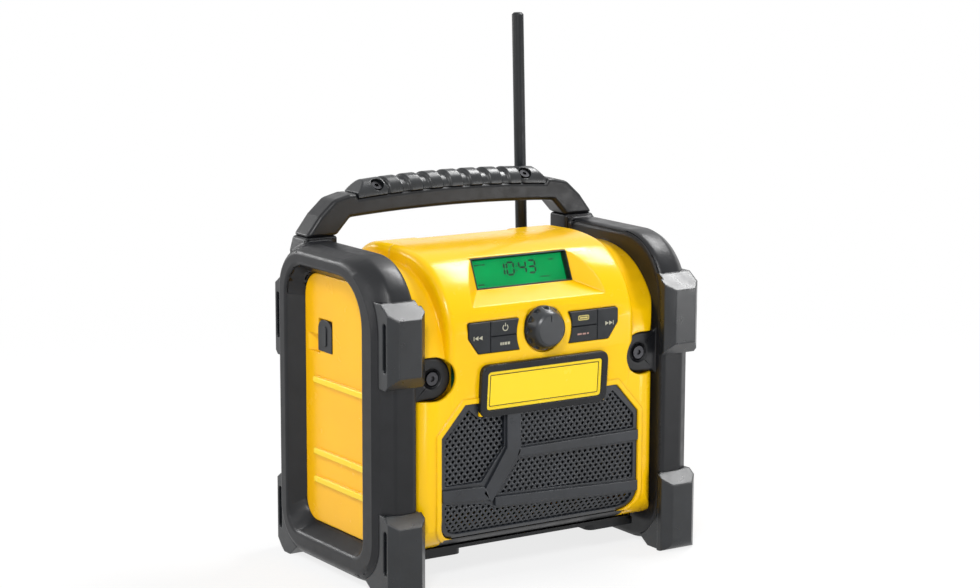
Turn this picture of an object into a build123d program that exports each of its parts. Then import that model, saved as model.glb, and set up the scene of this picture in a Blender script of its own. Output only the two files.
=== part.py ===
from build123d import *
import os
from math import asin, cos, degrees, radians, sin

os.makedirs("parts", exist_ok=True)

# Jobsite radio. Millimetres, +X right, the front faces -Y, +Z up.
# The origin is on the floor, in the middle of the footprint.

# ---------------------------------------------------------------- driving dimensions
wall = 2.6  # moulded wall of the housings and side panels
fit_gap = 0.3  # between pieces that drop into each other
screw_gap = 0.05  # radial, screw shank in its hole

# housing
body_half_x = 98.0  # end walls
front_y = -68.0  # lower front face
rear_y = 62.0  # rear face
body_low_z = 22.0  # underside
body_top_z = 210.0  # top of the set-back ends
toe_radius = 26.0  # round that carries the front face under the body
corner_y = -57.0  # where the rounded front corner meets the end wall
corner_radius = 18.0  # front vertical corners
rear_corner_radius = 14.0
split_y = 6.0  # joint line of the front and rear shells

# raised console that carries the display and the keys
console_half_x = 75.0
console_front_y = -70.3
console_low_z = 100.0
console_face_z = (150.0, 170.0)  # upright strip that holds the keys and the knob
console_top_z = 219.8
console_end_radius = 5.0
console_lean_y = -66.5  # front of the console at console_low_z

# cages
cage_inner_x = body_half_x
cage_land_x = (body_half_x + 2.5, body_half_x + 17.8)  # flat outer land of the hoop
cage_lip_x = body_half_x + 29.0  # half the overall width
cage_land = (-69.7, 69.7, 2.0, 220.5)  # front, rear, bottom and top of the land
cage_land_radii = (44.0, 36.0, 32.0)  # front top, rear top and bottom corners
cage_lip = (-58.5, 66.0, 9.5, 214.5)
cage_lip_radii = (46.0, 28.0, 26.0)
cage_inner_inset = 2.5
cage_mouth = (-45.4, 56.6, 19.5, 207.0)  # opening at the lip
cage_mouth_radii = (32.0, 22.0, 14.0)
cage_seat = (-45.0, 50.0, 28.0, 200.5)  # opening round the side panel
cage_seat_radii = (32.0, 18.0, 14.0)
web_half_y = 34.0  # opening in the web behind the side panel
web_z = (44.0, 188.0)
panel_x = body_half_x + 17.0  # outer face of the side panel
tab_center = (body_half_x - 14.5, 141.0)  # cage tab and its screw, X and Z
tab_radius = 14.3
tab_front_y = -63.5
tab_thickness = 5.5

# bumpers
bumper_y = 80.8
bumper_x = (body_half_x - 1.7, body_half_x + 26.5)
bumper_chamfer = 5.8
bumper_toe = 8.6  # round under the front lower bumpers
upper_bumper_z = (139.0, 147.5, 185.0)  # lower edge, flat face from, flat face to
lower_bumper_top_z = 47.9
bumper_slot = (4.5, 3.0)  # width and depth of the groove in the side face

# handle
handle_y = (41.0, 61.5)
handle_part_z = 223.0  # parting face on the cage lugs
lug_x = (body_half_x - 4.0, body_half_x + 20.3)
bar_under_z = (237.1, 234.3)  # underside of the bar, in the middle and at the arms
seam_z = 250.4  # seam under the grip, in the middle
grip_arc = 952.0  # radius of the arched seam
grip_end_x = body_half_x - 21.0
grip_ellipse = (9.9, 11.0)  # half width and height of a rib
groove_ellipse = (8.4, 8.2)
grip_rib_x = (0.0, 16.3, 32.7, 49.0)
grip_rib_length = 10.8
grip_pad_x = (55.8, 77.0)  # plain end of the grip
handle_screw_x = 61.0
handle_screw_lean = 40.0  # degrees to the front

# display
display_center = (-39.35, 201.8)  # glass centre, Y and Z
display_lean = 24.0  # degrees back from upright
glass_half_x = 37.7
glass_half_z = 10.05
surround_start = 4.0  # depth of the black frame in front of the glass
surround_reach = 22.0

# controls
key_split_x = 43.0
key_split_z = 166.0
key_proud = 0.7
key_travel = 1.0
knob_center_z = 167.6
knob_radius = 15.0
knob_front_radius = 11.5
knob_pocket_radius = 16.3
knob_front_y = -79.5
shaft_radius = 3.0
bush_radius = 4.5
board_y = -56.0  # front face of the main board
board_thickness = 1.6

# badge and grille
badge_center_z = 130.0
badge_size = (99.4, 33.0)
badge_plate_size = (94.0, 28.0)
badge_depth = 2.6
badge_seat = 0.7
badge_corner = 5.0
grille_top_z = 122.0
grille_low_z = 30.5
grille_half_x = 79.8
grille_field_inset = 0.8  # perforated plate, behind the housing's face
grille_rib_proud = 1.0
grille_back_inset = 3.0
grille_flange_depth = 1.7
grille_flange = 1.5
grille_hole = 2.15  # corner radius of one hole
grille_pitch = (7.4, 6.4)
bead_width = 3.6
tray_lip_half_x = 74.0
tray_lip_y = -30.3  # rear end of the lip
bead_proud = 1.2

# speakers
speaker_x = 40.3
speaker_z = 81.0
speaker_radius = 32.5
magnet_radius = 18.0

# battery bay
bay_half_x = 41.0
bay_low_z = 36.0
bay_floor_y = 24.0
pack_half_x = 37.5
pack_z = (36.3, 148.0)
pack_y = (34.0, 76.0)
dock_half_x = 24.0
dock_z = (42.0, 104.0)

# antenna
antenna_x = 73.3
antenna_y = 67.0
antenna_base_z = 190.0
antenna_foot_z = 166.0
antenna_foot_radius = 7.2
antenna_peg_z = 178.0
antenna_radius = 4.2
antenna_tip_z = 367.5
antenna_lean = 1.5  # degrees towards the middle

# sockets
aux_y = (13.0, 31.0)
aux_z = (148.0, 169.5)
aux_bore = 1.8
dc_x = (56.0, 76.0)
dc_z = (50.0, 70.0)
dc_bore = 2.8
dc_pin = 1.05
cover_thickness = 2.0


# ---------------------------------------------------------------- helpers
def facing_front(y):
    """Plane across Y whose normal points to the front."""
    return Plane((0, y, 0), x_dir=(1, 0, 0), z_dir=(0, -1, 0))


def facing_rear(y):
    """Plane across Y whose normal points to the rear."""
    return Plane((0, y, 0), x_dir=(-1, 0, 0), z_dir=(0, 1, 0))


def save(part, name):
    part.label = name
    export_step(part, f"parts/{name}.step")
    return part


def rounded_loop(x, box, radii):
    """Upright rounded rectangle across X; the box is front, rear, bottom and top."""
    y_front, y_rear, z_low, z_high = box
    with BuildSketch(Plane.YZ.offset(x)) as loop:
        with Locations(((y_front + y_rear) / 2, (z_low + z_high) / 2)):
            Rectangle(y_rear - y_front, z_high - z_low)
        fillet(loop.vertices().group_by(Axis.Y)[0], radii[2])
        fillet(loop.vertices().group_by(Axis.Y)[-1].sort_by(Axis.X)[0], radii[0])
        fillet(loop.vertices().group_by(Axis.Y)[-1].sort_by(Axis.X)[-1], radii[1])
    return loop.sketch


def screw(plane, head_radius, head_height, shank_radius, length):
    """Pan-head screw, its shank along the plane's -Z from under the head."""
    with BuildPart(plane) as body:
        Cylinder(head_radius, head_height, align=(Align.CENTER, Align.CENTER, Align.MIN))
        Cylinder(shank_radius, length, align=(Align.CENTER, Align.CENTER, Align.MAX))
        with BuildSketch(plane.offset(head_height)):
            RegularPolygon(head_radius * 0.45, 6)
        extrude(amount=-head_height * 0.6, mode=Mode.SUBTRACT)
    return body.part


# ---------------------------------------------------------------- housing form
def console_form(inset, end_radius):
    """Raised middle block: leaning front, upright key strip, rolled shoulder, rear slope."""
    with BuildPart() as console:
        with BuildSketch(Plane.YZ):
            with BuildLine():
                face_low, face_high = console_face_z
                start = (console_lean_y, console_low_z)
                Polyline(start, (console_front_y, face_low), (console_front_y, face_high))
                shoulder = ThreePointArc(
                    (console_front_y, face_high), (-56.2, face_high + 29), (-22, console_top_z - 2)
                )
                crest = TangentArc(shoulder @ 1, (4, console_top_z), tangent=shoulder % 1)
                top = Line(crest @ 1, (26, console_top_z - 0.6))
                back = TangentArc(top @ 1, (rear_y - 2, 190), tangent=top % 1)
                Polyline(back @ 1, (rear_y - 2, console_low_z), start)
            make_face()
            if inset:
                offset(amount=-inset)
        extrude(amount=console_half_x - inset, both=True)
        if end_radius:
            ends = console.faces().group_by(Axis.X)
            fillet(ends[0].edges() + ends[-1].edges(), end_radius)
    return console.part


def body_form(inset):
    """Outer skin of the whole housing, or the cavity when inset by the wall."""
    with BuildPart() as form:
        with BuildSketch(Plane.YZ):
            with BuildLine():
                toe_y = front_y + toe_radius
                toe_z = body_low_z + toe_radius
                toe = ThreePointArc(
                    (toe_y, body_low_z),
                    (toe_y - toe_radius * sin(radians(45)), toe_z - toe_radius * cos(radians(45))),
                    (front_y, toe_z),
                )
                front = Line(toe @ 1, (front_y, 128))
                brow = TangentArc(front @ 1, (-60.5, 170), tangent=front % 1)
                shoulder = TangentArc(brow @ 1, (-20, body_top_z - 3), tangent=brow % 1)
                crest = TangentArc(shoulder @ 1, (4, body_top_z), tangent=shoulder % 1)
                top = Line(crest @ 1, (38, body_top_z - 2))
                back = TangentArc(top @ 1, (rear_y, 184), tangent=top % 1)
                Polyline(back @ 1, (rear_y, body_low_z), toe @ 0)
            make_face()
            if inset:
                offset(amount=-inset)
        extrude(amount=body_half_x - inset, both=True)
        with BuildSketch(Plane.XY):
            with BuildLine():
                reach = (corner_radius**2 - (corner_y - front_y - corner_radius) ** 2) ** 0.5
                front_x = body_half_x - reach
                rear_x = body_half_x - rear_corner_radius
                Line((-front_x, front_y), (front_x, front_y))
                RadiusArc((front_x, front_y), (body_half_x, corner_y), -corner_radius)
                Line((body_half_x, corner_y), (body_half_x, rear_y - rear_corner_radius))
                RadiusArc(
                    (body_half_x, rear_y - rear_corner_radius), (rear_x, rear_y), -rear_corner_radius
                )
                Line((rear_x, rear_y), (-rear_x, rear_y))
                RadiusArc(
                    (-rear_x, rear_y), (-body_half_x, rear_y - rear_corner_radius), -rear_corner_radius
                )
                Line((-body_half_x, rear_y - rear_corner_radius), (-body_half_x, corner_y))
                RadiusArc((-body_half_x, corner_y), (-front_x, front_y), -corner_radius)
            make_face()
            if inset:
                offset(amount=-inset)
        extrude(amount=console_top_z + 10, mode=Mode.INTERSECT)
    return form.part


outer_form = body_form(0) + console_form(0, console_end_radius)
inner_form = body_form(wall) + console_form(wall, 0)


def half_shell(plane):
    """The hollow half of the housing on the side that the plane's normal points to."""
    with BuildPart() as outside:
        add(outer_form)
        split(bisect_by=plane, keep=Keep.TOP)
    with BuildPart() as inside:
        add(inner_form)
        split(bisect_by=plane, keep=Keep.TOP)
    with BuildPart() as shell:
        add(outside.part)
        add(inside.part, mode=Mode.SUBTRACT)
    return shell.part


# ---------------------------------------------------------------- shared outlines
display_plane = Plane(
    (0, display_center[0], display_center[1]),
    x_dir=(1, 0, 0),
    z_dir=(0, -cos(radians(display_lean)), sin(radians(display_lean))),
)
console_slope = (console_lean_y - console_front_y) / (console_face_z[0] - console_low_z)
badge_plane = Plane(
    (0, console_lean_y - console_slope * (badge_center_z - console_low_z), badge_center_z),
    x_dir=(1, 0, 0),
    z_dir=(0, -1, -console_slope),
)
badge_low_z = badge_center_z - badge_size[1] / 2
keys = {
    "seek": (51.5, key_split_z),
    "upper": (31.5, 171.4),
    "lower": (31.5, 160.4),
}


def surround_form(grow):
    """Well in front of the display: a long sill below, short cheeks beside and above."""
    with BuildPart() as well:
        with BuildSketch(display_plane.offset(surround_start - grow)):
            with Locations((0, 0.2)):
                Rectangle(2 * (glass_half_x + 1.3 + grow), 2 * (glass_half_z + 1.4 + grow))
        with BuildSketch(display_plane.offset(surround_reach)):
            with Locations((0, -5.5)):
                Rectangle(2 * (59 + grow), 50 + 2 * grow)
        loft()
    return well.part


def cluster_face(side, y, inset):
    """Outline of one three-key cluster, hollowed towards the knob."""
    with BuildSketch(facing_front(y)) as outline:
        with BuildLine():
            Polyline(
                (20 * side, 176.5), (60.4 * side, 176.5), (60.4 * side, 166), (52.5 * side, 155),
                (19.4 * side, 155),
            )
            ThreePointArc((19.4 * side, 155), (21.9 * side, 166), (20 * side, 176.5))
        make_face()
        fillet(outline.vertices().filter_by(lambda v: abs(v.X) > 50), 2)
        if inset:
            offset(amount=-inset)
    return outline.sketch


def grille_face(y, grow):
    """Outline of the grille: cut top corners, round bottom corners."""
    with BuildSketch(facing_front(y)) as outline:
        with BuildLine():
            Polyline(
                (-61.5, grille_top_z), (61.5, grille_top_z), (grille_half_x, 101.5),
                (grille_half_x, grille_low_z), (-grille_half_x, grille_low_z),
                (-grille_half_x, 101.5), (-61.5, grille_top_z),
            )
        make_face()
        fillet(outline.vertices().group_by(Axis.Y)[0], 13)
        if grow:
            offset(amount=grow, kind=Kind.INTERSECTION)
    return outline.sketch


def badge_notch(y, grow):
    """Tongue behind the badge that the grille goes round."""
    with BuildSketch(facing_front(y)) as notch:
        with Locations((0, badge_low_z - 0.8 - grow)):
            Rectangle(badge_size[0] + 1.2 + 2 * grow, 40, align=(Align.CENTER, Align.MIN))
    return notch.sketch


def tab_form(y_front, y_back, grow):
    """Half-round cage tab, running out to the cage."""
    with BuildPart() as tab:
        with BuildSketch(facing_front(y_back)):
            with Locations(tab_center):
                Circle(tab_radius + grow)
                Rectangle(20, 2 * (tab_radius + grow), align=(Align.MIN, Align.CENTER))
        extrude(amount=y_back - y_front)
    return tab.part


tab_tool = tab_form(front_y - 4, tab_front_y + tab_thickness, fit_gap)
rear_tab_y = rear_y - (tab_front_y - front_y) / 2
rear_tab_tool = mirror(tab_form(-rear_y - 4, -rear_tab_y + tab_thickness, fit_gap), about=Plane.XZ)

# ---------------------------------------------------------------- front housing
boss_radius = 4.6
boss_bore = 1.9 + screw_gap
boss_depth = 22.0
housing_bosses = [(side * (body_half_x - 9), z) for side in (-1, 1) for z in (36.0, 106.0, 172.0)]
board_posts = [(side * 60.0, z) for side in (-1, 1) for z in (130.0, 176.0)]
post_bore = 1.2 + screw_gap
pocket_floor_y = console_front_y + 3.2
tab_floor_y = tab_front_y + tab_thickness + fit_gap
tab_screw_bore = 2 + screw_gap
frame_margin = 0.8
well_cut = surround_form(0)
with BuildPart() as well_wall:
    add(surround_form(wall))
    add(outer_form, mode=Mode.INTERSECT)

with BuildPart() as front_fittings:
    # rim of the knob pocket
    with BuildSketch(facing_front(pocket_floor_y + wall)):
        with Locations((0, knob_center_z)):
            Circle(knob_pocket_radius + wall)
    extrude(amount=2 * wall)
    # floors behind the cage tabs, each with its screw boss
    for side in (-1, 1):
        with BuildSketch(facing_front(tab_floor_y + wall)):
            with Locations((side * (tab_center[0] - 2), tab_center[1])):
                Rectangle(32, 2 * (tab_radius + wall))
        extrude(amount=wall)
        with BuildSketch(facing_front(tab_floor_y + 9)):
            with Locations((side * tab_center[0], tab_center[1])):
                Circle(boss_radius)
        extrude(amount=9)
    # screw bosses to the rear shell and posts that hold the main board
    with BuildSketch(facing_front(split_y)):
        with Locations(*housing_bosses):
            Circle(boss_radius)
    extrude(amount=split_y - front_y - wall)
    with BuildSketch(facing_front(board_y)):
        with Locations(*board_posts):
            Circle(3.2)
    extrude(amount=board_y - front_y - wall / 2)
    add(outer_form, mode=Mode.INTERSECT)

opening_back_y = front_y + 14  # behind the curved foot of the grille
with BuildPart() as grille_bead:
    extrude(grille_face(opening_back_y, bead_width), amount=20)
    add(body_form(-bead_proud), mode=Mode.INTERSECT)
    add(body_form(wall), mode=Mode.SUBTRACT)

front_shell = half_shell(facing_front(split_y))
with BuildPart() as front_housing:
    add(front_shell)
    add(well_wall.part)
    add(front_fittings.part)
    add(well_cut, mode=Mode.SUBTRACT)
    # opening behind the well for the display frame
    with BuildSketch(display_plane.offset(surround_start)):
        margin = frame_margin + fit_gap
        Rectangle(2 * (glass_half_x + margin), 2 * (glass_half_z + margin))
    extrude(amount=-10, mode=Mode.SUBTRACT)
    # raised bead round the grille, then the opening with the tongue that backs the badge
    add(grille_bead.part)
    opening = extrude(grille_face(opening_back_y, 0), amount=20, mode=Mode.PRIVATE)
    opening -= extrude(badge_notch(opening_back_y, 0), amount=20, mode=Mode.PRIVATE)
    add(opening, mode=Mode.SUBTRACT)
    with BuildSketch(badge_plane.offset(-badge_seat)):
        RectangleRounded(badge_size[0] + fit_gap, badge_size[1] + fit_gap, badge_corner)
    extrude(amount=8, mode=Mode.SUBTRACT)
    # slot for the lip of the base tray
    with BuildSketch(facing_front(tray_lip_y + fit_gap)):
        with Locations((0, body_low_z - 1)):
            Rectangle(
                2 * (tray_lip_half_x + fit_gap), grille_low_z - body_low_z + 1.01,
                align=(Align.CENTER, Align.MIN),
            )
    extrude(amount=50, mode=Mode.SUBTRACT)
    # key openings
    for side in (-1, 1):
        extrude(cluster_face(side, console_front_y + 6, 0), amount=10, mode=Mode.SUBTRACT)
    # knob pocket and the hole for the encoder bush
    for floor_y, radius in ((pocket_floor_y, knob_pocket_radius), (board_y - 6, bush_radius + fit_gap)):
        with BuildSketch(facing_front(floor_y)):
            with Locations((0, knob_center_z)):
                Circle(radius)
        extrude(amount=10, mode=Mode.SUBTRACT)
    # seats of the cage tabs and the bores of every boss and post
    for side in (-1, 1):
        seat = tab_tool if side > 0 else mirror(tab_tool, about=Plane.YZ, mode=Mode.PRIVATE)
        add(seat, mode=Mode.SUBTRACT)
        with BuildSketch(facing_front(tab_floor_y)):
            with Locations((side * tab_center[0], tab_center[1])):
                Circle(tab_screw_bore)
        extrude(amount=-10, mode=Mode.SUBTRACT)
    with BuildSketch(facing_front(split_y)):
        with Locations(*housing_bosses):
            Circle(boss_bore)
    extrude(amount=boss_depth, mode=Mode.SUBTRACT)
    with BuildSketch(facing_front(board_y)):
        with Locations(*board_posts):
            Circle(post_bore)
    extrude(amount=6, mode=Mode.SUBTRACT)
save(front_housing.part, "front_housing")

# ---------------------------------------------------------------- rear housing
with BuildPart() as bay_walls:
    with BuildSketch(facing_rear(bay_floor_y - wall)):
        with Locations((0, bay_low_z - wall)):
            Rectangle(2 * (bay_half_x + wall), 200, align=(Align.CENTER, Align.MIN))
    extrude(amount=60)
    add(outer_form, mode=Mode.INTERSECT)

rear_floor_y = rear_tab_y - tab_thickness - fit_gap
tube_radius = 5.8
head_seat_y = split_y + 8
with BuildPart() as rear_fittings:
    # floors behind the rear cage tabs, each with its screw boss
    for side in (-1, 1):
        with BuildSketch(facing_rear(rear_floor_y - wall)):
            with Locations((side * (tab_center[0] - 2), tab_center[1])):
                Rectangle(32, 2 * (tab_radius + wall))
        extrude(amount=wall)
        with BuildSketch(facing_rear(rear_floor_y - 9)):
            with Locations((side * tab_center[0], tab_center[1])):
                Circle(boss_radius)
        extrude(amount=9)
    # counterbored tubes for the housing screws
    with BuildSketch(facing_rear(split_y)):
        with Locations(*housing_bosses):
            Circle(tube_radius)
    extrude(amount=rear_y - split_y)
    add(outer_form, mode=Mode.INTERSECT)

rear_shell = half_shell(facing_rear(split_y))
with BuildPart() as rear_housing:
    add(rear_shell)
    add(bay_walls.part)
    add(rear_fittings.part)
    # battery channel, open to the rear and to the top
    with BuildSketch(facing_rear(bay_floor_y)):
        with Locations((0, bay_low_z)):
            Rectangle(2 * bay_half_x, 220, align=(Align.CENTER, Align.MIN))
    extrude(amount=60, mode=Mode.SUBTRACT)
    # seats of the rear cage tabs and the bores of every boss and tube
    for side in (-1, 1):
        seat = rear_tab_tool if side > 0 else mirror(rear_tab_tool, about=Plane.YZ, mode=Mode.PRIVATE)
        add(seat, mode=Mode.SUBTRACT)
        with BuildSketch(facing_rear(rear_floor_y)):
            with Locations((side * tab_center[0], tab_center[1])):
                Circle(tab_screw_bore)
        extrude(amount=-10, mode=Mode.SUBTRACT)
    for start_y, radius in ((head_seat_y, 4.2), (split_y, boss_bore)):
        with BuildSketch(facing_rear(start_y)):
            with Locations(*housing_bosses):
                Circle(radius)
        extrude(amount=rear_y, mode=Mode.SUBTRACT)
    # hole for the peg of the aerial's foot
    with BuildSketch(facing_rear(rear_y - 8)):
        with Locations((-antenna_x, antenna_peg_z)):
            Circle(2 + screw_gap)
    extrude(amount=12, mode=Mode.SUBTRACT)
    # hole for the power inlet
    with BuildSketch(facing_rear(rear_y - 8)):
        with Locations((-(dc_x[0] + dc_x[1]) / 2, (dc_z[0] + dc_z[1]) / 2)):
            Circle(6.3)
    extrude(amount=12, mode=Mode.SUBTRACT)
save(rear_housing.part, "rear_housing")

# ---------------------------------------------------------------- base tray
tray_z = (19.5, body_low_z)
tray_y = (-50.0, 54.0)
tray_half_x = body_half_x - 6
pad_low_z = 15.5
pad_size = (40.0, 22.0)
with BuildPart() as tray_lip:
    with BuildSketch(facing_front(tray_lip_y)):
        with Locations((0, tray_z[1])):
            Rectangle(
                2 * tray_lip_half_x, grille_low_z - fit_gap - tray_z[1],
                align=(Align.CENTER, Align.MIN),
            )
    extrude(amount=50)
    add(outer_form, mode=Mode.INTERSECT)
    add(inner_form, mode=Mode.SUBTRACT)

with BuildPart() as base_tray:
    with BuildSketch(Plane.XY.offset(tray_z[0])):
        with Locations((0, sum(tray_y) / 2)):
            RectangleRounded(2 * tray_half_x, tray_y[1] - tray_y[0], 8)
    extrude(amount=tray_z[1] - tray_z[0])
    add(tray_lip.part)
    # stiffening pads under the four corners
    with BuildSketch(Plane.XY.offset(pad_low_z)):
        for side in (-1, 1):
            pad_x = side * (tray_half_x - pad_size[0] / 2)
            with Locations((pad_x, tray_y[0] + pad_size[1] / 2), (pad_x, tray_y[1] - pad_size[1] / 2)):
                RectangleRounded(*pad_size, 5)
    extrude(amount=tray_z[0] - pad_low_z)
save(base_tray.part, "base_tray")

# ---------------------------------------------------------------- side panels
panel_ridge_z = (127.3, 77.5, 58.0)


def panel_form():
    """Right-hand side panel: a shallow moulded cap with pressed ridges."""
    with BuildPart() as panel:
        y_front, y_rear, z_low, z_high = cage_seat
        box = (y_front + fit_gap, y_rear - fit_gap, z_low + fit_gap, z_high - fit_gap)
        outline = rounded_loop(cage_inner_x + wall, box, cage_seat_radii)
        depth = panel_x - cage_inner_x - wall
        extrude(outline, amount=depth)
        cavity_face = offset(outline, amount=-wall, mode=Mode.PRIVATE)
        extrude(cavity_face, amount=depth - wall, mode=Mode.SUBTRACT)
        for ridge_z in panel_ridge_z:
            with BuildSketch(Plane.XZ):
                with BuildLine():
                    Polyline(
                        (panel_x - 1, ridge_z - 2.2), (panel_x, ridge_z - 2.2),
                        (panel_x + 1.6, ridge_z + 0.6), (panel_x + 1.6, ridge_z + 1.4),
                        (panel_x - 1, ridge_z + 2.2), (panel_x - 1, ridge_z - 2.2),
                    )
                make_face()
            extrude(amount=37, both=True)
    return panel.part


right_panel = panel_form()
save(right_panel, "right_side_panel")

aux_mid = ((aux_y[0] + aux_y[1]) / 2, (aux_z[0] + aux_z[1]) / 2)
left_face = Plane((-panel_x, 0, 0), x_dir=(0, -1, 0), z_dir=(-1, 0, 0))
pocket_depth = 6.0
scoop_z = (146.0, 158.0)
scoop_y = 45.5
with BuildPart() as left_side_panel:
    add(mirror(right_panel, about=Plane.YZ, mode=Mode.PRIVATE))
    # cup behind the socket cover and the finger scoop beside it
    with BuildSketch(left_face.offset(-wall)):
        with Locations((-(aux_y[0] + scoop_y) / 2, aux_mid[1] - 1)):
            Rectangle(scoop_y - aux_y[0] + 6, aux_z[1] - scoop_z[0] + 6)
    extrude(amount=wall - pocket_depth - 2)
    with BuildSketch(left_face):
        with Locations((-aux_mid[0], aux_mid[1])):
            Rectangle(aux_y[1] - aux_y[0] + 2 * fit_gap, aux_z[1] - aux_z[0] + 2 * fit_gap)
    extrude(amount=-pocket_depth, mode=Mode.SUBTRACT)
    with BuildSketch(Plane.XY.offset(scoop_z[0])):
        with BuildLine():
            Polyline(
                (-panel_x - 1, aux_y[1] - 1), (-panel_x - 1, scoop_y), (-panel_x, scoop_y),
                (-panel_x + pocket_depth, aux_y[1] + 3), (-panel_x + pocket_depth, aux_y[1] - 1),
                (-panel_x - 1, aux_y[1] - 1),
            )
        make_face()
    extrude(amount=scoop_z[1] - scoop_z[0], mode=Mode.SUBTRACT)
    with BuildSketch(left_face.offset(-pocket_depth + 1)):
        with Locations((-aux_mid[0], aux_mid[1])):
            Circle(4.2)
    extrude(amount=-20, mode=Mode.SUBTRACT)
save(left_side_panel.part, "left_side_panel")


# ---------------------------------------------------------------- roll cages
def between(start, end, part):
    """Numbers a given part of the way from one list to the other."""
    return tuple(a + (b - a) * part for a, b in zip(start, end))


def cage_hoop():
    """Outside of the right-hand hoop, solid: a flat land that falls away to a rounded lip."""
    front, rear, low, high = cage_land
    inset = cage_inner_inset
    inner = (front + inset, rear - inset, low + inset, high - inset)
    stations = [
        (cage_inner_x, inner, cage_land_radii),
        (cage_land_x[0], cage_land, cage_land_radii),
        (cage_land_x[1], cage_land, cage_land_radii),
    ]
    fall = cage_lip_x - cage_land_x[1]
    for reach, part in ((0.72, 0.5), (1.0, 1.0)):
        box = between(cage_land, cage_lip, part)
        radii = between(cage_land_radii, cage_lip_radii, part)
        stations.append((cage_land_x[1] + fall * reach, box, radii))
    with BuildPart() as hoop:
        loft([rounded_loop(*station) for station in stations], ruled=True)
    return hoop.part


hoop = cage_hoop()
lug_low_z = 212.0
with BuildPart() as right_cage:
    add(hoop)
    # lug under the handle foot
    with BuildSketch(facing_rear(handle_y[0])):
        with BuildLine():
            Polyline(
                (-lug_x[0], handle_part_z), (-lug_x[1], handle_part_z), (-lug_x[1] - 2.7, 213),
                (-lug_x[1], 200), (-cage_inner_x - 1, 200), (-cage_inner_x - 1, lug_low_z),
                (-lug_x[0], lug_low_z), (-lug_x[0], handle_part_z),
            )
        make_face()
    extrude(amount=handle_y[1] - handle_y[0])
    # opening: tapered sill and cheeks down to the side panel, then straight to the web
    mouth = rounded_loop(cage_lip_x + 0.1, cage_mouth, cage_mouth_radii)
    seat = rounded_loop(panel_x, cage_seat, cage_seat_radii)
    loft([mouth, seat], mode=Mode.SUBTRACT)
    through = rounded_loop(cage_inner_x + wall, cage_seat, cage_seat_radii)
    extrude(through, amount=panel_x - cage_inner_x - wall + 0.01, mode=Mode.SUBTRACT)
    with BuildSketch(Plane.YZ.offset(cage_inner_x - 1)):
        with Locations((0, sum(web_z) / 2)):
            RectangleRounded(2 * web_half_y, web_z[1] - web_z[0], 10)
    extrude(amount=wall + 2, mode=Mode.SUBTRACT)
    # half-round tabs at the front and the rear, each with a pocket and a hole for its screw
    add(tab_form(tab_front_y, tab_front_y + tab_thickness, 0))
    add(mirror(tab_form(-rear_tab_y, -rear_tab_y + tab_thickness, 0), about=Plane.XZ, mode=Mode.PRIVATE))
    for face_y, facing in ((tab_front_y, facing_front), (rear_tab_y, facing_rear)):
        plane = facing(face_y)
        flip = 1 if facing is facing_front else -1
        with BuildSketch(plane):
            with Locations((flip * tab_center[0], tab_center[1])):
                Circle(6)
        extrude(amount=-2.4, mode=Mode.SUBTRACT)
        with BuildSketch(plane):
            with Locations((flip * tab_center[0], tab_center[1])):
                Circle(2 + screw_gap)
        extrude(amount=-8, mode=Mode.SUBTRACT)
save(right_cage.part, "right_cage")
left_cage = mirror(right_cage.part, about=Plane.YZ)
save(left_cage, "left_cage")


# ---------------------------------------------------------------- bumpers
def bumper_form(profile, toe, slot_z, cage_form):
    """Right front bumper: a chamfered block hooked over the cage's outside form."""
    x_in, x_out = bumper_x
    hook_x = cage_inner_x + fit_gap
    step_y = cage_land[0] - 0.6
    with BuildPart() as bumper:
        with BuildSketch(Plane.XY.offset(-1)):
            with BuildLine():
                Polyline(
                    (hook_x, -40), (hook_x, step_y), (x_in, step_y), (x_in, bumper_chamfer - bumper_y),
                    (x_in + bumper_chamfer, -bumper_y), (x_out - bumper_chamfer, -bumper_y),
                    (x_out, bumper_chamfer - bumper_y), (x_out, -40), (hook_x, -40),
                )
            make_face()
        extrude(amount=230)
        with BuildSketch(Plane.YZ) as side_view:
            with BuildLine():
                Polyline(*profile, profile[0])
            make_face()
            if toe:
                fillet(side_view.vertices().group_by(Axis.Y)[0].sort_by(Axis.X)[0], toe)
        extrude(amount=140, mode=Mode.INTERSECT)
        add(cage_form, mode=Mode.SUBTRACT)
        with BuildSketch(Plane.YZ.offset(x_out)):
            with Locations((cage_land[0] - 1.5, sum(slot_z) / 2)):
                SlotOverall(slot_z[1] - slot_z[0], bumper_slot[0], rotation=90)
        extrude(amount=-bumper_slot[1], mode=Mode.SUBTRACT)
    return bumper.part


low, flat_low, flat_high = upper_bumper_z
upper_profile = (
    (-bumper_y, flat_low), (-bumper_y, flat_high), (-bumper_y + 15, flat_high + 10),
    (-46, flat_high + 10), (-46, low), (-bumper_y + flat_low - low, low),
)
lower_top = (
    (-bumper_y, lower_bumper_top_z), (-bumper_y + 11, lower_bumper_top_z + 7.5),
    (-58, lower_bumper_top_z + 7.5), (-46, 20),
)
lower_front_profile = lower_top + ((-46, 7), (-57, 0), (-bumper_y, 0))
lower_rear_profile = lower_top + ((-46, 9), (-58, 0), (-66, 0), (-70, 3), (-bumper_y, 15))
upper_slot_z = (flat_low + 3, flat_high - 2)
lower_slot_z = (16, lower_bumper_top_z - 2)
for level, front_profile, rear_profile, toe, slot_z in (
    ("upper", upper_profile, upper_profile, 0, upper_slot_z),
    ("lower", lower_front_profile, lower_rear_profile, bumper_toe, lower_slot_z),
):
    right_front = bumper_form(front_profile, toe, slot_z, hoop)
    rear_hoop = mirror(hoop, about=Plane.XZ)
    right_rear = mirror(bumper_form(rear_profile, 0, slot_z, rear_hoop), about=Plane.XZ)
    save(right_front, f"right_front_{level}_bumper")
    save(right_rear, f"right_rear_{level}_bumper")
    save(mirror(right_front, about=Plane.YZ), f"left_front_{level}_bumper")
    save(mirror(right_rear, about=Plane.YZ), f"left_rear_{level}_bumper")

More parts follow.
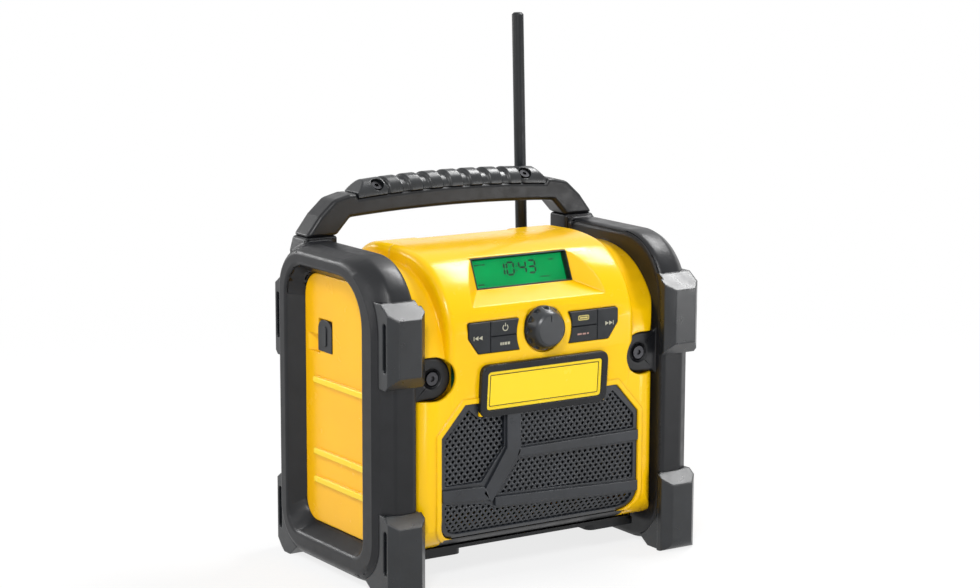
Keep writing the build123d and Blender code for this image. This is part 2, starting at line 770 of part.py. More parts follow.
# ---------------------------------------------------------------- handle
handle_width = handle_y[1] - handle_y[0]
handle_mid_y = (handle_y[0] + handle_y[1]) / 2
handle_plane = facing_rear(handle_y[0])


def seam_at(x):
    """Height of the arched seam at a distance x from the middle."""
    return seam_z - grip_arc + (grip_arc**2 - x**2) ** 0.5


def grip_plane(x):
    """Plane across the arched grip, its Y axis square to the seam."""
    lean = asin(x / grip_arc)
    return Plane((x, handle_mid_y, seam_at(x)), x_dir=(0, 1, 0), z_dir=(cos(lean), 0, -sin(lean)))


def grip_section(x, ellipse):
    """Half ellipse that stands on the seam."""
    with BuildSketch(grip_plane(x)) as section:
        Ellipse(*ellipse)
        Rectangle(3 * ellipse[0], 2 * ellipse[1], align=(Align.CENTER, Align.MIN), mode=Mode.INTERSECT)
    return section.sketch


def handle_screw_plane(side):
    """Seat of a handle screw's head, leaning to the front."""
    lean = radians(handle_screw_lean)
    return Plane(
        (side * handle_screw_x, 46.4, seam_at(handle_screw_x) + 4.8),
        x_dir=(1, 0, 0), z_dir=(0, -sin(lean), cos(lean)),
    )


with BuildPart() as handle:
    with BuildSketch(handle_plane):
        with BuildLine():
            arm_x = body_half_x - 14.5
            ThreePointArc(
                (0, seam_z), (grip_end_x / 2, seam_at(grip_end_x / 2)), (grip_end_x, seam_at(grip_end_x))
            )
            Polyline(
                (grip_end_x, seam_at(grip_end_x)), (grip_end_x + 2, 250.3), (arm_x + 0.5, 250.3),
                (body_half_x - 2, 247.3), (body_half_x + 9.3, 237.2), (lug_x[1], handle_part_z),
                (lug_x[0], handle_part_z), (arm_x, bar_under_z[1]),
            )
            ThreePointArc(
                (arm_x, bar_under_z[1]), (arm_x / 2, bar_under_z[0] - (bar_under_z[0] - bar_under_z[1]) / 4),
                (0, bar_under_z[0]),
            )
            Line((0, bar_under_z[0]), (0, seam_z))
        make_face()
        mirror(about=Plane.YZ)
    extrude(amount=handle_width)
    for side in (-1, 1):
        with BuildSketch(handle_screw_plane(side)):
            Circle(1.9 + screw_gap)
        extrude(amount=-14, mode=Mode.SUBTRACT)
save(handle.part, "handle")

with BuildPart() as handle_grip:
    # groove floor along the whole grip, then the ribs and the plain ends
    grip_turn = degrees(asin(grip_end_x / grip_arc))
    revolve(
        grip_section(-grip_end_x, groove_ellipse), revolution_arc=2 * grip_turn,
        axis=Axis((0, handle_mid_y, seam_z - grip_arc), (0, 1, 0)),
    )
    for rib_x in sorted({side * x for x in grip_rib_x for side in (-1, 1)}):
        extrude(grip_section(rib_x, grip_ellipse), amount=grip_rib_length / 2, both=True)
    for side in (-1, 1):
        pad_mid = side * sum(grip_pad_x) / 2
        extrude(grip_section(pad_mid, grip_ellipse), amount=(grip_pad_x[1] - grip_pad_x[0]) / 2, both=True)
    with BuildSketch(handle_plane):
        with BuildLine():
            Polyline(
                (-grip_end_x, 240), (-grip_end_x, 250.8), (-grip_end_x + 10.5, 262),
                (grip_end_x - 10.5, 262), (grip_end_x, 250.8), (grip_end_x, 240), (-grip_end_x, 240),
            )
        make_face()
    extrude(amount=handle_width, mode=Mode.INTERSECT)
    for side in (-1, 1):
        with BuildSketch(handle_screw_plane(side)):
            Circle(4.8)
        extrude(amount=12, mode=Mode.SUBTRACT)
        with BuildSketch(handle_screw_plane(side)):
            Circle(1.9 + screw_gap)
        extrude(amount=-14, mode=Mode.SUBTRACT)
save(handle_grip.part, "handle_grip")

# ---------------------------------------------------------------- display
frame_size = (2 * (glass_half_x + frame_margin), 2 * (glass_half_z + frame_margin))
with BuildPart() as bezel_flange:
    with BuildSketch(display_plane.offset(surround_start - wall)):
        Rectangle(frame_size[0] + 5, frame_size[1] + 5)
    extrude(amount=-2)
    add(inner_form, mode=Mode.INTERSECT)

with BuildPart() as display_bezel:
    with BuildSketch(display_plane.offset(-4)):
        Rectangle(*frame_size)
    extrude(amount=surround_start + 4)
    add(outer_form, mode=Mode.INTERSECT)
    add(bezel_flange.part)
    with BuildSketch(display_plane.offset(surround_start)):
        Rectangle(2 * glass_half_x, 2 * glass_half_z)
    extrude(amount=-10, mode=Mode.SUBTRACT)
save(display_bezel.part, "display_bezel")

glass_size = (2 * (glass_half_x - fit_gap / 2), 2 * (glass_half_z - fit_gap / 2))
with BuildPart() as display_lens:
    with BuildSketch(display_plane):
        Rectangle(*glass_size)
    extrude(amount=-1.5)
save(display_lens.part, "display_lens")

with BuildPart() as lcd_panel:
    with BuildSketch(display_plane.offset(-1.5)):
        Rectangle(*glass_size)
    extrude(amount=-2.5)
    with BuildSketch(display_plane.offset(-4)):
        Rectangle(*frame_size)
    extrude(amount=-1.6)
save(lcd_panel.part, "lcd_panel")

# ---------------------------------------------------------------- keys
key_back_y = console_front_y + wall + 1.5
switch_front_y = key_back_y + 4.2 + key_travel + fit_gap
cells = {
    "seek": ((key_split_x + 20, key_split_z), (40, 40)),
    "upper": ((key_split_x - 20, key_split_z + 20), (40, 40)),
    "lower": ((key_split_x - 20, key_split_z - 20), (40, 40)),
}
for side, side_name in ((-1, "left"), (1, "right")):
    for key_name, (centre, size) in cells.items():
        stem_x, stem_z = keys[key_name]
        with BuildPart() as key:
            cap = cluster_face(side, key_back_y, fit_gap)
            extrude(cap, amount=key_back_y - console_front_y + key_proud)
            with BuildSketch(facing_front(key_back_y)):
                with Locations((side * centre[0], centre[1])):
                    Rectangle(size[0] - fit_gap, size[1] - fit_gap)
            extrude(amount=20, mode=Mode.INTERSECT)
            chamfer(key.faces().sort_by(Axis.Y)[0].edges(), 0.4)
            with BuildSketch(facing_front(key_back_y)):
                with Locations((side * stem_x, stem_z)):
                    Circle(2.5)
            extrude(amount=-4.2)
        save(key.part, f"{side_name}_{key_name}_key")

# ---------------------------------------------------------------- tuning knob
knob_back_y = pocket_floor_y - 0.5
with BuildPart() as tuning_knob:
    with BuildSketch(Plane.XY.offset(knob_center_z)):
        with BuildLine():
            Polyline(
                (0, knob_back_y), (knob_radius, knob_back_y), (knob_radius, knob_back_y - 3),
                (knob_front_radius, knob_front_y + 1.4), (knob_front_radius - 1.6, knob_front_y),
                (0, knob_front_y), (0, knob_back_y),
            )
        make_face()
    revolve(axis=Axis((0, 0, knob_center_z), (0, 1, 0)))
    # finger flutes that fade out towards the front
    with BuildSketch(facing_front(knob_back_y - 3)):
        with Locations((0, knob_center_z)):
            with PolarLocations(knob_radius + 0.6, 12):
                Circle(2.6)
    extrude(amount=20, mode=Mode.SUBTRACT)
    with BuildSketch(facing_front(knob_back_y)):
        with Locations((0, knob_center_z)):
            Circle(shaft_radius)
    extrude(amount=8, mode=Mode.SUBTRACT)
save(tuning_knob.part, "tuning_knob")

with BuildPart() as encoder_shaft:
    with BuildSketch(facing_front(board_y - 2)):
        with Locations((0, knob_center_z)):
            Circle(shaft_radius)
    extrude(amount=board_y - 2 - knob_back_y + 8)
save(encoder_shaft.part, "encoder_shaft")

with BuildPart() as encoder_body:
    with BuildSketch(facing_front(board_y)):
        with Locations((0, knob_center_z)):
            Rectangle(13, 13)
    extrude(amount=5)
    with BuildSketch(facing_front(board_y - 5)):
        with Locations((0, knob_center_z)):
            Circle(bush_radius)
    extrude(amount=board_y - 5 - knob_back_y - fit_gap)
    with BuildSketch(facing_front(board_y - 1.7)):
        with Locations((0, knob_center_z)):
            Circle(shaft_radius + screw_gap)
    extrude(amount=20, mode=Mode.SUBTRACT)
save(encoder_body.part, "encoder_body")

# ---------------------------------------------------------------- main board
with BuildPart() as main_board:
    with BuildSketch(facing_front(board_y)):
        with Locations((0, 152.5)):
            Rectangle(2 * (tab_center[0] - 2 - 16 - 1.2), 66)
        with Locations(*board_posts):
            Circle(post_bore, mode=Mode.SUBTRACT)
    extrude(amount=-board_thickness)
save(main_board.part, "main_board")

with BuildPart() as tact_switches:
    for side in (-1, 1):
        for stem_x, stem_z in keys.values():
            with BuildSketch(facing_front(board_y)):
                with Locations((side * stem_x, stem_z)):
                    Rectangle(6, 6)
            extrude(amount=2.5)
            with BuildSketch(facing_front(board_y - 2.5)):
                with Locations((side * stem_x, stem_z)):
                    Circle(1.75)
            extrude(amount=board_y - 2.5 - switch_front_y)
save(tact_switches.part, "tact_switches")

with BuildPart() as board_screws:
    for x, z in board_posts:
        plane = Plane((x, board_y + board_thickness, z), x_dir=(-1, 0, 0), z_dir=(0, 1, 0))
        add(screw(plane, 2.4, 1.8, 1.2, 6))
save(board_screws.part, "board_screws")

# ---------------------------------------------------------------- badge
with BuildPart() as badge_frame:
    with BuildSketch(badge_plane.offset(-badge_seat)):
        RectangleRounded(*badge_size, badge_corner - fit_gap)
    extrude(amount=badge_seat + badge_depth)
    chamfer(badge_frame.faces().sort_by(Axis.Y)[0].edges(), 0.8)
    with BuildSketch(badge_plane.offset(badge_seat)):
        RectangleRounded(badge_plate_size[0] + fit_gap, badge_plate_size[1] + fit_gap, 1.5)
    extrude(amount=5, mode=Mode.SUBTRACT)
save(badge_frame.part, "badge_frame")

with BuildPart() as badge_plate:
    with BuildSketch(badge_plane.offset(badge_seat)):
        RectangleRounded(*badge_plate_size, 1.4)
    extrude(amount=badge_depth - badge_seat + 0.3)
    chamfer(badge_plate.faces().sort_by(Axis.Y)[0].edges(), 0.5)
    with BuildSketch(badge_plane.offset(badge_depth + 0.3)):
        RectangleRounded(badge_plate_size[0] - 5, badge_plate_size[1] - 5, 1)
    extrude(amount=-0.5, mode=Mode.SUBTRACT)
save(badge_plate.part, "badge_plate")

# ---------------------------------------------------------------- speaker grille
# Perforated fields between the ribs, as corner points (X, Z) in order round each field.
grille_fields = (
    ((-72.5, 68), (-46.5, 68), (-31, 90), (-31, 111), (-58.5, 115), (-72.5, 99)),
    ((-16, 90), (70.5, 90), (70.5, 99), (57, 113), (-16, 113)),
    ((-35, 59), (70.5, 54.5), (70.5, 78), (-17, 80)),
    ((-66, 36), (66, 36), (71, 43.5), (-72, 52), (-72, 44)),
)
grille_ribs = (
    ((-29, grille_top_z), (-18.5, grille_top_z), (-18.5, 85), (-40.7, 54.5), (-48.6, 62), (-29, 89)),
    ((-grille_half_x, 66), (-47, 64), (-42, 54), (-grille_half_x, 58)),
    ((-20, 87.5), (grille_half_x, 87.5), (grille_half_x, 80.4), (-20, 82)),
    ((-43, 57), (grille_half_x, 52), (grille_half_x, 45.7), (-40, 50.4)),
)


def in_field(x, z, margin):
    """Whether a point lies inside one of the convex fields by at least the margin."""
    for corners in grille_fields:
        turns = []
        for (x0, z0), (x1, z1) in zip(corners, corners[1:] + corners[:1]):
            length = ((x1 - x0) ** 2 + (z1 - z0) ** 2) ** 0.5
            turns.append(((x1 - x0) * (z - z0) - (z1 - z0) * (x - x0)) / length)
        if min(turns) > margin:
            return True
    return False


hole_points = []
for row in range(15):
    for column in range(-12, 13):
        x = (column + 0.5 * (row % 2)) * grille_pitch[0]
        z = 37.5 + row * grille_pitch[1]
        if in_field(x, z, grille_hole * 0.55):
            hole_points.append((x, z))

plate_face = grille_face(opening_back_y, -fit_gap)
with BuildPart() as grille_plate:
    extrude(plate_face, amount=20)
    add(body_form(grille_field_inset), mode=Mode.INTERSECT)

with BuildPart() as grille_relief:
    extrude(plate_face - grille_face(opening_back_y, -6), amount=20)
    for corners in grille_ribs:
        with BuildSketch(facing_front(opening_back_y)):
            with BuildLine():
                Polyline(*corners, corners[0])
            make_face()
        extrude(amount=20)
    add(extrude(plate_face, amount=20, mode=Mode.PRIVATE), mode=Mode.INTERSECT)
    add(body_form(-grille_rib_proud), mode=Mode.INTERSECT)

grille_back = body_form(grille_back_inset)
with BuildPart() as grille_lip:
    extrude(
        grille_face(opening_back_y, grille_flange) - grille_face(opening_back_y, -5), amount=20
    )
    add(grille_back, mode=Mode.INTERSECT)

with BuildPart() as speaker_grille:
    add(grille_plate.part)
    add(grille_relief.part)
    add(grille_back, mode=Mode.SUBTRACT)
    # flange behind the housing wall
    add(grille_lip.part)
    add(body_form(grille_back_inset + grille_flange_depth), mode=Mode.SUBTRACT)
    notch = extrude(badge_notch(opening_back_y, fit_gap), amount=20, mode=Mode.PRIVATE)
    add(notch, mode=Mode.SUBTRACT)
    with BuildSketch(facing_front(opening_back_y)):
        with Locations(*hole_points):
            RegularPolygon(grille_hole, 6)
    extrude(amount=20, mode=Mode.SUBTRACT)
save(speaker_grille.part, "speaker_grille")

# ---------------------------------------------------------------- speakers
baffle_front_y = front_y + grille_back_inset + grille_flange_depth
baffle_thickness = 2.5
with BuildPart() as speaker_baffle:
    with BuildSketch(facing_front(baffle_front_y)):
        with Locations((0, speaker_z)):
            RectangleRounded(2 * (grille_half_x + 1.2), 2 * speaker_radius, 8)
        for side in (-1, 1):
            with Locations((side * speaker_x, speaker_z)):
                Circle(speaker_radius - 5, mode=Mode.SUBTRACT)
    extrude(amount=-baffle_thickness)
save(speaker_baffle.part, "speaker_baffle")

basket_front_y = baffle_front_y + baffle_thickness
for side, side_name in ((-1, "left"), (1, "right")):
    axis = Axis((side * speaker_x, 0, speaker_z), (0, 1, 0))
    section = Plane((side * speaker_x, 0, speaker_z), x_dir=(1, 0, 0), z_dir=(0, 0, 1))
    with BuildPart() as basket:
        with BuildSketch(section):
            with BuildLine():
                Polyline(
                    (speaker_radius - 5, basket_front_y), (speaker_radius, basket_front_y),
                    (speaker_radius, basket_front_y + 2), (speaker_radius - 3.5, basket_front_y + 2),
                    (magnet_radius, basket_front_y + 22), (6, basket_front_y + 22),
                    (6, basket_front_y + 20.5), (magnet_radius - 2, basket_front_y + 20.5),
                    (speaker_radius - 5, basket_front_y),
                )
            make_face()
        revolve(axis=axis)
    save(basket.part, f"{side_name}_speaker_frame")
    with BuildPart() as cone:
        with BuildSketch(section):
            with BuildLine():
                rim = speaker_radius - 6.5
                Polyline(
                    (rim, basket_front_y - 0.5), (rim + 1.3, basket_front_y - 0.5),
                    (12, basket_front_y + 14.5), (0, basket_front_y + 14.5),
                    (0, basket_front_y + 13.5), (11.2, basket_front_y + 13.5),
                    (rim, basket_front_y - 0.5),
                )
            make_face()
        revolve(axis=axis)
    save(cone.part, f"{side_name}_speaker_cone")
    with BuildPart() as magnet:
        with BuildSketch(facing_rear(basket_front_y + 22)):
            with Locations((-side * speaker_x, speaker_z)):
                Circle(magnet_radius)
        extrude(amount=11)
        chamfer(magnet.faces().sort_by(Axis.Y)[-1].edges(), 1)
    save(magnet.part, f"{side_name}_speaker_magnet")

# ---------------------------------------------------------------- battery dock and pack
neck_half_x = dock_half_x - 6
dock_head_y = (bay_floor_y + 4.3, bay_floor_y + 9.6)
with BuildPart() as battery_dock:
    with BuildSketch(Plane.XY.offset(dock_z[0])):
        with Locations((0, bay_floor_y)):
            Rectangle(2 * neck_half_x, dock_head_y[1] - bay_floor_y, align=(Align.CENTER, Align.MIN))
        with Locations((0, dock_head_y[0])):
            Rectangle(2 * dock_half_x, dock_head_y[1] - dock_head_y[0], align=(Align.CENTER, Align.MIN))
    extrude(amount=dock_z[1] - dock_z[0])
    chamfer(battery_dock.faces().sort_by(Axis.Z)[-1].edges().filter_by(Axis.X), 1)
save(battery_dock.part, "battery_dock")

terminal_x = (-10, 0, 10)
terminal_y = (dock_head_y[0] + 1.6, dock_head_y[0] + 3.2)
with BuildPart() as battery_terminals:
    with BuildSketch(Plane.XY.offset(dock_z[1])):
        with Locations(*[(x, sum(terminal_y) / 2) for x in terminal_x]):
            Rectangle(6, terminal_y[1] - terminal_y[0])
    extrude(amount=9)
save(battery_terminals.part, "battery_terminals")

latch_z = (122.0, 138.0)
latch_half_x = 15.0
with BuildPart() as battery_pack:
    with BuildSketch(Plane.XY.offset(pack_z[0])):
        with Locations((0, pack_y[0])):
            Rectangle(2 * pack_half_x, pack_y[1] - pack_y[0], align=(Align.CENTER, Align.MIN))
    extrude(amount=pack_z[1] - pack_z[0])
    fillet(battery_pack.edges().filter_by(Axis.Z).sort_by(Axis.Y)[-2:], 7)
    fillet(battery_pack.faces().sort_by(Axis.Y)[-1].edges().filter_by(Axis.X), 5)
    # shoe in front of the cell case, with the undercut groove that runs on the dock
    shoe_y = bay_floor_y + 0.5
    with BuildSketch(Plane.XY.offset(pack_z[0])):
        with Locations((0, shoe_y)):
            Rectangle(2 * (dock_half_x + 7), pack_y[0] - shoe_y, align=(Align.CENTER, Align.MIN))
    extrude(amount=dock_z[1] + 16 - pack_z[0])
    with BuildSketch(Plane.XY.offset(pack_z[0] - 1)):
        with Locations((0, shoe_y - 1)):
            Rectangle(2 * (neck_half_x + fit_gap), 8, align=(Align.CENTER, Align.MIN))
        with Locations((0, dock_head_y[0] - fit_gap)):
            Rectangle(
                2 * (dock_half_x + fit_gap), dock_head_y[1] - dock_head_y[0] + 2 * fit_gap,
                align=(Align.CENTER, Align.MIN),
            )
    extrude(amount=dock_z[1] + fit_gap - pack_z[0] + 1, mode=Mode.SUBTRACT)
    with BuildSketch(Plane.XY.offset(dock_z[1] - 2)):
        with Locations(*[(x, sum(terminal_y) / 2) for x in terminal_x]):
            Rectangle(6 + 2 * fit_gap, terminal_y[1] - terminal_y[0] + 2 * fit_gap)
    extrude(amount=12, mode=Mode.SUBTRACT)
    # pocket of the release button and side grip ribs
    with BuildSketch(facing_rear(pack_y[1])):
        with Locations((0, sum(latch_z) / 2)):
            RectangleRounded(2 * latch_half_x, latch_z[1] - latch_z[0], 3)
    extrude(amount=-8, mode=Mode.SUBTRACT)
    for side in (-1, 1):
        with BuildSketch(Plane.YZ.offset(side * pack_half_x)):
            with Locations((62, 100)):
                with GridLocations(0, 7, 1, 6):
                    Rectangle(18, 3)
        extrude(amount=-side * 1.2, mode=Mode.SUBTRACT)
save(battery_pack.part, "battery_pack")

with BuildPart() as battery_latch:
    with BuildSketch(facing_rear(pack_y[1] - 5)):
        with Locations((0, sum(latch_z) / 2)):
            RectangleRounded(
                2 * (latch_half_x - fit_gap), latch_z[1] - latch_z[0] - 2 * fit_gap, 2.7
            )
    extrude(amount=5.8)
    chamfer(battery_latch.faces().sort_by(Axis.Y)[-1].edges(), 0.8)
save(battery_latch.part, "battery_latch")

# ---------------------------------------------------------------- aerial
with BuildPart() as antenna_base:
    with BuildSketch(Plane.XY.offset(antenna_foot_z)):
        with Locations((antenna_x, antenna_y)):
            Circle(antenna_foot_radius)
    extrude(amount=antenna_base_z - antenna_foot_z)
    with BuildSketch(Plane.XY.offset(antenna_base_z)):
        with Locations((antenna_x, antenna_y)):
            Circle(5.6)
    with BuildSketch(Plane.XY.offset(antenna_base_z + 13)):
        with Locations((antenna_x, antenna_y)):
            Circle(5.0)
    loft()
    add(outer_form, mode=Mode.SUBTRACT)
    with BuildSketch(facing_rear(rear_y - 6)):
        with Locations((-antenna_x, antenna_peg_z)):
            Circle(2)
    extrude(amount=8)
save(antenna_base.part, "antenna_base")

rod_low_z = antenna_base_z + 13.15
rod_plane = Plane(
    (antenna_x, antenna_y, rod_low_z), z_dir=(-sin(radians(antenna_lean)), 0, cos(radians(antenna_lean)))
)
with BuildPart() as antenna_rod:
    with BuildSketch(rod_plane):
        Circle(antenna_radius)
    extrude(amount=antenna_tip_z - rod_low_z)
    chamfer(antenna_rod.faces().sort_by(Axis.Z)[-1].edges(), 1.4)
save(antenna_rod.part, "antenna_rod")

# ---------------------------------------------------------------- sockets and covers
with BuildPart() as aux_jack:
    with BuildSketch(left_face.offset(-pocket_depth - 2 - 9)):
        with Locations((-aux_mid[0], aux_mid[1])):
            Rectangle(12, 11)
    extrude(amount=9)
    with BuildSketch(left_face.offset(-pocket_depth - 2)):
        with Locations((-aux_mid[0], aux_mid[1])):
            Circle(4)
    extrude(amount=2 + pocket_depth - cover_thickness - fit_gap)
    with BuildSketch(left_face):
        with Locations((-aux_mid[0], aux_mid[1])):
            Circle(aux_bore)
    extrude(amount=-16, mode=Mode.SUBTRACT)
save(aux_jack.part, "aux_jack")

with BuildPart() as aux_cover:
    with BuildSketch(left_face.offset(0.6 - cover_thickness)):
        with Locations((-aux_mid[0], aux_mid[1])):
            Rectangle(aux_y[1] - aux_y[0], aux_z[1] - aux_z[0])
    extrude(amount=cover_thickness)
    fillet(aux_cover.edges().filter_by(Axis.X).group_by(Axis.Z)[-1], 7)
save(aux_cover.part, "aux_cover")

dc_mid = ((dc_x[0] + dc_x[1]) / 2, (dc_z[0] + dc_z[1]) / 2)
with BuildPart() as dc_inlet:
    with BuildSketch(facing_rear(rear_y - wall - 10)):
        with Locations((-dc_mid[0], dc_mid[1])):
            Rectangle(15, 15)
    extrude(amount=10)
    with BuildSketch(facing_rear(rear_y - wall)):
        with Locations((-dc_mid[0], dc_mid[1])):
            Circle(6)
    extrude(amount=wall)
    with BuildSketch(facing_rear(rear_y)):
        with Locations((-dc_mid[0], dc_mid[1])):
            Circle(dc_bore)
            Circle(dc_pin, mode=Mode.SUBTRACT)
    extrude(amount=-10, mode=Mode.SUBTRACT)
save(dc_inlet.part, "dc_inlet")

dc_hinge = (rear_y + 1.6, dc_z[1] + 1.2)
with BuildPart() as dc_cover:
    with BuildSketch(facing_rear(rear_y + fit_gap)):
        with Locations((-dc_mid[0], dc_mid[1])):
            RectangleRounded(dc_x[1] - dc_x[0], dc_z[1] - dc_z[0], 3)
    extrude(amount=cover_thickness)
    with BuildSketch(Plane.YZ.offset(dc_mid[0])):
        with Locations(dc_hinge):
            Circle(1.3)
    extrude(amount=7, both=True)
save(dc_cover.part, "dc_cover")

# ---------------------------------------------------------------- fasteners
with BuildPart() as cage_screws:
    for side in (-1, 1):
        x = side * tab_center[0]
        front = Plane((x, tab_front_y + 2.4, tab_center[1]), x_dir=(1, 0, 0), z_dir=(0, -1, 0))
        rear = Plane((x, rear_tab_y - 2.4, tab_center[1]), x_dir=(-1, 0, 0), z_dir=(0, 1, 0))
        add(screw(front, 4.4, 2.2, 2, 10))
        add(screw(rear, 4.4, 2.2, 2, 10))
save(cage_screws.part, "cage_screws")

with BuildPart() as housing_screws:
    for x, z in housing_bosses:
        plane = Plane((x, head_seat_y, z), x_dir=(-1, 0, 0), z_dir=(0, 1, 0))
        add(screw(plane, 3.6, 2.4, 1.9, 22))
save(housing_screws.part, "housing_screws")

with BuildPart() as handle_screws:
    for side in (-1, 1):
        add(screw(handle_screw_plane(side), 3.6, 2, 1.9, 13))
save(handle_screws.part, "handle_screws")
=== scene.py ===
from functools import partial
from math import asin, cos, pi, radians, sin

import bmesh
import bpy
from bpy.props import FloatProperty, FloatVectorProperty, PointerProperty
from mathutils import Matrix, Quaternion, Vector


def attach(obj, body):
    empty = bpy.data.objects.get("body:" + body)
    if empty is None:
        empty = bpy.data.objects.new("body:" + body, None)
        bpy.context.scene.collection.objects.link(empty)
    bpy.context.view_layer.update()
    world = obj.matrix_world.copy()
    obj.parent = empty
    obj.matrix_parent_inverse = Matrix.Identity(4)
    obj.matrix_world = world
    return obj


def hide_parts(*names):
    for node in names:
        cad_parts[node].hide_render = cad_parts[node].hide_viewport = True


bl_info = {
    "name": "Jobsite Radio",
    "version": (1, 1, 0),
    "blender": (4, 5, 0),
    "location": "3D View > Sidebar > Radio",
    "description": "Dresses the radio's construction model with its finishes and fine pieces",
    "category": "Object",
}

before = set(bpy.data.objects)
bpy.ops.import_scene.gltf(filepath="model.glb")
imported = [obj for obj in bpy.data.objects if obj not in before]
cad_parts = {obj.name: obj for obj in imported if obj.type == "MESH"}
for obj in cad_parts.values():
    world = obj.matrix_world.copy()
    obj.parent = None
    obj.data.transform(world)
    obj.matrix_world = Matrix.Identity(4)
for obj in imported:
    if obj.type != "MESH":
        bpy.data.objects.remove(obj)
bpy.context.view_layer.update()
MM = 0.001

# Places on the construction model, in millimetres.
FRONT_Y = -68.0
TOE_RADIUS = 26.0
TOE_Z = 48.0
KEY_FACE_Y = -71.0
DISPLAY_CENTRE = Vector((0, -39.35, 201.8))
DISPLAY_LEAN = radians(24)
BADGE_CENTRE = Vector((0, -68.78, 130.0))
BADGE_LEAN = radians(4.4)
PANEL_FACE_X = 115.0
HANDLE_MID_Y = 51.25


def colour_property(name, description, value):
    return FloatVectorProperty(
        name=name, description=description, subtype="COLOR", size=3, default=value, min=0, max=1
    )


def length_property(name, description, value, high):
    return FloatProperty(
        name=name, description=description, default=value * MM, min=0.01 * MM, max=high * MM,
        subtype="DISTANCE", unit="LENGTH",
    )


# ------------------------------------------------------------------ sizes and colours
class RadioFinishSettings(bpy.types.PropertyGroup):
    """Colours of the radio's mouldings."""

    yellow: colour_property("Housing yellow", "Colour of the shells and side panels", (0.95, 0.57, 0.001))
    # The amber also deepens the side panels' colour, as painted shade.
    amber: colour_property("Housing amber", "Deeper tone that the yellow drifts to", (0.86, 0.36, 0.001))
    # The badge yellow also lightens the side panels' ridges, as a painted highlight.
    lemon: colour_property("Badge yellow", "Paler yellow of the bare name plate", (0.90, 0.66, 0.02))
    cage_black: colour_property("Cage black", "Colour of the cages and the handle", (0.007, 0.0075, 0.009))
    rubber_black: colour_property("Rubber black", "Colour of the bumpers and grip", (0.009, 0.0105, 0.0125))
    grille_black: colour_property("Grille black", "Colour of the speaker grille", (0.013, 0.015, 0.019))
    display_green: colour_property("Display green", "Colour of the lit display", (0.001, 0.33, 0.085))
    print_cream: colour_property("Symbol print", "Ink of the symbols on the keys", (0.50, 0.48, 0.36))


class RadioEdgeSettings(bpy.types.PropertyGroup):
    """Edge radii of the mouldings."""

    housing: length_property("Housing edges", "Edge radius of the yellow mouldings", 0.8, 3)
    cage: length_property("Cage edges", "Edge radius of the cages", 2.2, 5)
    handle: length_property("Handle edges", "Edge radius of the handle", 2.8, 5)
    bumper: length_property("Bumper edges", "Edge radius of the rubber bumpers", 1.1, 4)
    small: length_property("Small edges", "Edge radius of keys, frames and fittings", 0.3, 1)


class RadioGrilleSettings(bpy.types.PropertyGroup):
    """Sizes of the perforated speaker grille."""

    hole: length_property("Hole width", "Width of one hole", 2.5, 6)
    pitch_x: length_property("Pitch across", "Distance between holes in a row", 4.6, 12)
    pitch_z: length_property("Row pitch", "Distance between rows of holes", 2.8, 12)
    sheet: length_property("Sheet thickness", "Thickness of the perforated sheet", 1.2, 3)
    rib_edge: length_property("Rib edges", "Edge radius of the raised ribs", 1.3, 3)


